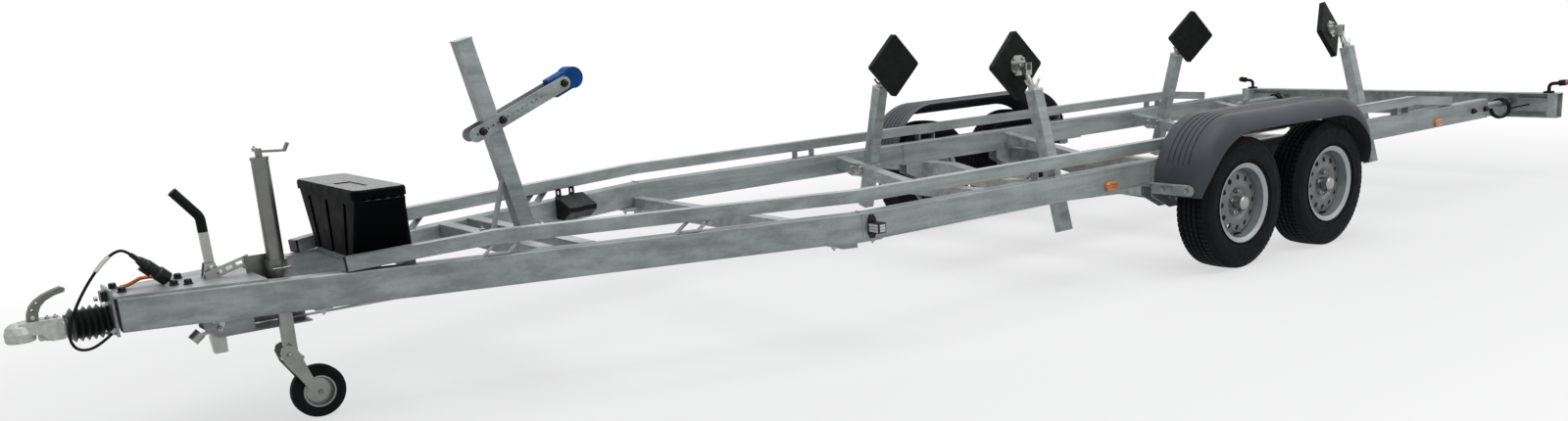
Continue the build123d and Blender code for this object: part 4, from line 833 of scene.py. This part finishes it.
# bolts up into the drawbar legs, whose outer faces spread rearward from LEG_FRONT_X by LEG_SPREAD a metre
LEG_FRONT_X, LEG_FRONT_OUT, LEG_SPREAD = 3.935, 0.105, 0.3235
LEG_BOLT_X, LEG_BOLT_Z, LEG_BOLT_INSET = (3.32, 3.635), 0.438, 0.032


class TRAILER_OT_brake(Operator):
    """Handbrake lever, grip and the brake linkage under the drawbar"""
    bl_idname = "trailer.brake"
    bl_label = "Handbrake"

    def execute(self, context):
        dress(zinc_plate("Brake plating"), "handbrake", "brake_linkage")
        dress(moulded_rubber("Grip rubber"), "handbrake_grip", "brake_cables")
        mesh = bmesh.new()
        for x, y, z, way, across in BRAKE_BOLTS:
            add_bolt(mesh, (x, y, z), (0, way, 0), across)
        for x in LEG_BOLT_X:
            reach = LEG_FRONT_OUT + (LEG_FRONT_X - x) * LEG_SPREAD - LEG_BOLT_INSET
            for side in WAYS:
                add_bolt(mesh, (x, side * reach, LEG_BOLT_Z), DOWN)
        piece("brake_bolts", mesh, zinc_plate("Brake fasteners"))
        return {"FINISHED"}


JOCKEY_X, JOCKEY_Y = 3.405 + 0.012, 0.085
LEG_CLAMP_OUT, LEG_CLAMP_Z, CRANK_NUT_Z = 0.0365, (0.49, 0.51), 1.0045
FORK_BOLT_AHEAD, FORK_BOLT_Z = 0.092, 0.262


class TRAILER_OT_jockey(Operator):
    """Jockey wheel: plated tubes, crank, fork and axle bolt"""
    bl_idname = "trailer.jockey"
    bl_label = "Jockey wheel"

    def execute(self, context):
        plated = zinc_plate("Jockey plating", 0.72)
        dress(zinc_plate("Jockey tube plating", 0.46), "jockey_tube")
        dress(plated, "jockey_stem", "jockey_fork", "jockey_rim")
        centre = middle("jockey_rim")
        low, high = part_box("jockey_fork")
        faces = ((high.y, 1), (low.y, -1))
        mesh = bmesh.new()
        for y, facing in faces:
            add_bolt(mesh, (centre.x, y, centre.z), (0, facing, 0))
        for y, facing in faces:
            add_bolt(mesh, (centre.x + FORK_BOLT_AHEAD, y, FORK_BOLT_Z), (0, facing, 0), M8, thread=False)
        piece("fork_bolts", mesh, plated, "jockey_caster")
        mesh = bmesh.new()
        for z in LEG_CLAMP_Z:
            add_bolt(mesh, (JOCKEY_X, JOCKEY_Y + LEG_CLAMP_OUT, z), (0, 1, 0), M7, thread=False)
        add_bolt(mesh, (JOCKEY_X, JOCKEY_Y, CRANK_NUT_Z), UP, M10_SLIM)
        piece("leg_bolts", mesh, plated)
        return {"FINISHED"}


# ---- toolbox and chocks ----
class TRAILER_OT_toolbox(Operator):
    """Black plastic toolbox with latch and ribs, and the pair of wheel chocks"""
    bl_idname = "trailer.toolbox"
    bl_label = "Toolbox and chocks"

    def execute(self, context):
        black = settings("plastic").box
        dull = grained_plastic("Toolbox plastic", shade(black, 0.7), 0.0015, 0.55, 0.03)
        dress(dull, "toolbox")
        # The lid's top is the same black plastic painted paler (1.5 times, against 0.7 for the box), a
        # painted highlight; its sides keep the box's darker plastic.
        dress(smooth_plastic("Toolbox lid plastic", 0.3, shade(black, 1.5), 0.6), "toolbox_lid")
        second_coat(NODES["toolbox_lid"], dull, lambda face: face.normal.z <= 0.8)
        dress(grained_plastic("Chock plastic", shade(black, 0.9), 0.0016, 0.45), "wheel_chocks")
        return {"FINISHED"}


# ---- lamps ----
LAMP_BANDS = (("amber", 0.893, 0.955), ("red", 0.958, 1.068), ("clear", 1.071, 1.133))
LAMP_RIM, LAMP_BODY = (0.893, 1.133, 0.432, 0.54), (0.903, 1.123, 0.442, 0.53)     # inner and outer y, then z
FRONT_LENS, SIDE_LENS = (0.484, 0.518, 0.0015), (0.485, 0.516, 0.0012)       # low, high and bevel
REFLECTOR_Y, REFLECTOR_Z, REFLECTOR_WIDE, REFLECTOR_TALL = 0.7, 0.422, 0.15, 0.13
OUTLINE_END, OUTLINE_LEAN = (-4.215, 1.2125, 0.6318), 0.095
OUTLINE_CAP = ((0.0183, 0.0), (0.0183, 0.01), (0.016, 0.0145), (0.008, 0.0168), (0, 0.0172))


def add_side_box(mesh, side, back, front, inner, outer, low, high, bevel):
    """A box on one side of the trailer, between x back and front and y inner and outer."""
    near, far = sorted((side * inner, side * outer))
    add_box(mesh, (back, near, low), (front, far, high), bevel)


class TRAILER_OT_lamps(Operator):
    """Side markers, position lamps, outline lamps, tail lamps and reflectors"""
    bl_idname = "trailer.lamps"
    bl_label = "Lamps"

    def execute(self, context):
        lamps = settings("lamps")
        glass = {name: lens(f"{name.capitalize()} lens", getattr(lamps, name))
                 for name in ("amber", "red", "clear")}
        black = smooth_plastic("Lamp plastic", 0.4)
        dress(glass["amber"], "side_markers")
        self.tail_lamps(glass, black)
        dress(black, "position_lamps")
        self.position_lenses(glass["clear"])
        self.outline_caps(glass["red"])
        return {"FINISHED"}

    def tail_lamps(self, glass, black):
        low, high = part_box("tail_lamps")
        back, front = low.x, high.x
        case = bmesh.new()
        lenses = {name: bmesh.new() for name in glass}
        for side in WAYS:
            add_side_box(case, side, back + 0.005, back + 0.012, *LAMP_RIM, 0.0015)
            add_side_box(case, side, back + 0.0118, front, *LAMP_BODY, 0.002)
            for name, inner, outer in LAMP_BANDS:
                add_side_box(lenses[name], side, back, back + 0.006, inner, outer, 0.434, 0.538, 0.002)
            self.reflector(lenses["red"], back + 0.012, side)
        made = piece("tail_lamp_cases", case, black)
        second_coat(made, galvanised("Lamp back zinc"), lambda face: face.center.x > back + 0.013)
        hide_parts("tail_lamps")
        for name, mesh in lenses.items():
            piece(f"tail_lens_{name}", mesh, glass[name])

    def reflector(self, mesh, seat_x, side):
        "A triangle with a raised inner one, point up."
        tri = [Vector((side * REFLECTOR_Y + REFLECTOR_WIDE * dy, REFLECTOR_Z + REFLECTOR_TALL * dz))
               for dy, dz in ((-0.5, 0), (0.5, 0), (0, 1))]
        mid = sum(tri, Vector((0, 0))) / 3
        for inset, depth in ((0.0, 0.0045), (0.16, 0.0068)):
            flat = [p.lerp(mid, inset) for p in tri]
            face, base = ([mesh.verts.new((x, *p)) for p in flat] for x in (seat_x - depth, seat_x))
            mesh.faces.new(face)
            mesh.faces.new(base)
            for k in range(3):
                mesh.faces.new((base[k], base[(k + 1) % 3], face[(k + 1) % 3], face[k]))

    def position_lenses(self, clear):
        "A clear front and a clear side on each lamp."
        low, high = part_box("position_lamps")
        mesh = bmesh.new()
        for side in WAYS:
            add_side_box(mesh, side, high.x - 0.001, high.x + 0.004, 0.95, high.y - 0.004, *FRONT_LENS)
            add_side_box(mesh, side, low.x + 0.006, high.x - 0.006, high.y - 0.001, high.y + 0.003,
                         *SIDE_LENS)
        piece("position_lenses", mesh, clear)

    def outline_caps(self, red):
        "Red cap on the outer end of each lamp's rubber arm."
        dress(moulded_rubber("Lamp arm rubber"), "outline_lamps")
        mesh = bmesh.new()
        x, y, z = OUTLINE_END
        for side in WAYS:
            add_lathe(mesh, OUTLINE_CAP, seat((x, side * y, z), (0, side, OUTLINE_LEAN)))
        piece("outline_caps", mesh, red)


# ---- leads ----
# Control points of the trailer lead, from its gland on the housing to the parked plug.
LEAD_ROUTE = ((3.965, 0.072, 0.444), (3.998, 0.073, 0.42), (4.04, 0.074, 0.402), (4.078, 0.075, 0.41),
              (4.094, 0.075, 0.446), (4.085, 0.075, 0.492), (4.062, 0.074, 0.544), (4.026, 0.07, 0.601),
              (3.985, 0.062, 0.652), (3.943, 0.05, 0.693), (3.903, 0.038, 0.715), (3.875, 0.0285, 0.714),
              (3.857, 0.025, 0.6955))
LEAD_ACROSS = 0.01
SLEEVE_LOW, SLEEVE_HIGH, SLEEVE_FRONT, SLEEVE_WALL = 0.655, 0.702, 3.925, 0.0022
SLEEVE_COLOUR = (0.62, 0.63, 0.6)


class TRAILER_OT_leads(Operator):
    """Trailer lead, its plug and sleeve, the grab strap and the spare lamp cable"""
    bl_idname = "trailer.leads"
    bl_label = "Leads"

    def execute(self, context):
        black = moulded_rubber("Lead sheath", grain=0.0008)
        dress(black, "rear_cables")
        dress(smooth_plastic("Plug plastic", 0.4), "plug", "plug_holder")
        dress(smooth_plastic("Strap plastic", 0.38, settings("plastic").strap), "orange_loop")
        curve = bpy.data.curves.new("trailer_lead", "CURVE")
        curve.dimensions = "3D"
        curve.bevel_depth = LEAD_ACROSS / 2
        curve.bevel_resolution = 4
        curve.resolution_u = 10
        curve.use_fill_caps = True
        spline = curve.splines.new("NURBS")
        spline.points.add(len(LEAD_ROUTE) - 1)
        for point, place in zip(spline.points, LEAD_ROUTE):
            point.co = (*place, 1.0)
        spline.order_u = 3
        spline.use_endpoint_u = True
        lead = place_object("trailer_lead", curve)
        curve.materials.append(black)
        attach(lead, "chassis")
        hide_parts("lead_cord")
        sleeve = self.sleeve(lead)
        self.measure(lead)
        return {"FINISHED"}

    def centre_line(self, lead):
        "Points of the cord's own smooth line."
        bare = lead.data.copy()
        bare.bevel_depth = 0.0
        probe = bpy.data.objects.new("lead_line", bare)
        mesh = bpy.data.meshes.new_from_object(probe)
        points = [v.co.copy() for v in mesh.vertices]
        bpy.data.objects.remove(probe)
        bpy.data.curves.remove(bare)
        bpy.data.meshes.remove(mesh)
        return points

    def measure(self, lead):
        points = self.centre_line(lead)
        return sum((b - a).length for a, b in zip(points, points[1:]))

    def sleeve(self, lead):
        "Pale heat-shrink sleeve round the lead near its top."
        points = [p for p in self.centre_line(lead) if SLEEVE_LOW < p.z < SLEEVE_HIGH and p.x > SLEEVE_FRONT]
        mesh = bmesh.new()
        add_tube(mesh, points, LEAD_ACROSS / 2 + SLEEVE_WALL, 14)
        pale = smooth_plastic("Pale sleeve", 0.4, SLEEVE_COLOUR)
        return piece("lead_sleeve", mesh, pale)


# ---- stage ----
CAMERA_PLACE = (4.69, 5.0855, 1.3983)
CAMERA_TURN = (76.018, 3.312, 141.587)
CAMERA_LENS = 30.42
CAMERA_SHIFT = (-0.0372, 0.0769)
SKY_COLOUR, WHITE = (0.92, 0.96, 1.0), (1.0, 1.0, 1.0)
FLOOR_HALF, FADE_WIDER, LAMP_TARGET = 60.0, 1.7, Vector((0.0, 0.0, 0.4))
# name, middle, size, and the setting that gives its power
SOFT_LAMPS = (("key", (0.5, 1.5, 7.0), 7.0, "key"), ("rear_fill", (-5.5, 5.5, 5.0), 5.0, "fill"),
              ("far_fill", (0.0, -7.0, 5.5), 6.0, "fill"))


class TRAILER_OT_stage(Operator):
    """Pale floor, soft lamps, even sky and the camera"""
    bl_idname = "trailer.stage"
    bl_label = "Stage"

    def execute(self, context):
        scene = context.scene
        stage = settings("stage")
        scene.view_settings.view_transform = "Standard"
        mesh = bmesh.new()
        bmesh.ops.create_grid(mesh, x_segments=1, y_segments=1, size=FLOOR_HALF)
        data = bpy.data.meshes.new("studio_floor")
        mesh.to_mesh(data)
        mesh.free()
        floor = place_object("studio_floor", data)
        data.materials.append(self.floor_finish(stage))
        for name, place, size, share in SOFT_LAMPS:
            lamp = bpy.data.lights.new(name, "AREA")
            lamp.size = size
            lamp.energy = getattr(stage, share)
            place_object(name, lamp, place, (LAMP_TARGET - Vector(place)).to_track_quat("-Z", "Y").to_euler())
        self.sky(scene, stage)
        camera = bpy.data.cameras.new("camera")
        camera.lens = CAMERA_LENS
        camera.shift_x, camera.shift_y = CAMERA_SHIFT
        camera.clip_end = 200.0
        scene.camera = place_object("camera", camera, CAMERA_PLACE, [math.radians(a) for a in CAMERA_TURN])
        return {"FINISHED"}

    def floor_finish(self, stage):
        "Pale floor that keeps the soft shadow near the trailer and fades to plain white further out."
        f = Finish("Studio floor", stage.floor, roughness=0.9)
        f.tint(1.5, 2.0, (0.2, 0.985), (0.8, 1.0))
        away = f.node("ShaderNodeVectorMath", {0: f.stretched((1.0, FADE_WIDER, 0.0))}, operation="LENGTH")
        fade = f.node("ShaderNodeMapRange", {"Value": away.outputs["Value"], "From Min": 3.0, "From Max": 8.0,
                                             "To Min": 0.62, "To Max": 1.0}, interpolation_type="SMOOTHSTEP")
        seen = self.seen_rays(f.tree)
        share = f.node("ShaderNodeMath", {0: seen, 1: fade.outputs["Result"]}, operation="MULTIPLY")
        white = f.node("ShaderNodeEmission", {"Color": WHITE})
        self.mix_out(f.tree, share.outputs["Value"], f.shader.outputs["BSDF"], white.outputs["Emission"])
        return f.material

    def mix_out(self, tree, share, first, second):
        "Mixes two shaders into the tree's output."
        mixed = add_node(tree, "ShaderNodeMixShader", {"Fac": share, 1: first, 2: second})
        fill(tree.get_output_node("ALL"), {"Surface": mixed.outputs["Shader"]})

    def seen_rays(self, tree):
        "One for rays from the camera, off glossy metal or through a lens."
        path = add_node(tree, "ShaderNodeLightPath", {})
        total = path.outputs["Is Camera Ray"]
        for name in ("Is Glossy Ray", "Is Transmission Ray"):
            both = add_node(tree, "ShaderNodeMath", {0: total, 1: path.outputs[name]}, operation="MAXIMUM")
            total = both.outputs["Value"]
        return total

    def sky(self, scene, stage):
        scene.world = bpy.data.worlds.new("studio")
        scene.world.use_nodes = True
        tree = scene.world.node_tree
        even = tree.nodes["Background"]
        fill(even, {"Color": SKY_COLOUR, "Strength": stage.sky})
        white = add_node(tree, "ShaderNodeBackground", {"Color": WHITE})
        self.mix_out(tree, self.seen_rays(tree), even.outputs["Background"], white.outputs["Background"])


OPERATORS = (TRAILER_OT_frame, TRAILER_OT_tyres, TRAILER_OT_wheels, TRAILER_OT_fenders, TRAILER_OT_pads,
             TRAILER_OT_winch_post, TRAILER_OT_coupling, TRAILER_OT_brake, TRAILER_OT_jockey,
             TRAILER_OT_toolbox, TRAILER_OT_lamps, TRAILER_OT_leads, TRAILER_OT_stage)


class TRAILER_PT_dressing(Panel):
    """Lists the trailer's dressing steps and their settings"""
    bl_idname = "TRAILER_PT_dressing"
    bl_label = "Boat trailer"
    bl_space_type = "VIEW_3D"
    bl_region_type = "UI"
    bl_category = "Trailer"

    def draw(self, context):
        for group, kind in SETTINGS:
            column = self.layout.column(align=True)
            for key in kind.__annotations__:
                column.prop(settings(group), key)
        for operator in OPERATORS:
            self.layout.operator(operator.bl_idname)


CLASSES = OPERATORS + (TRAILER_PT_dressing,)


def register():
    for group, kind in SETTINGS:
        bpy.utils.register_class(kind)
        setattr(bpy.types.Scene, "trailer_" + group, PointerProperty(type=kind))
    for kind in CLASSES:
        bpy.utils.register_class(kind)


def unregister():
    for kind in reversed(CLASSES):
        bpy.utils.unregister_class(kind)
    for group, kind in reversed(SETTINGS):
        delattr(bpy.types.Scene, "trailer_" + group)
        bpy.utils.unregister_class(kind)


def main():
    register()
    for kind in OPERATORS:
        getattr(bpy.ops.trailer, kind.bl_idname.split(".")[1])()


if __name__ == "__main__":
    main()
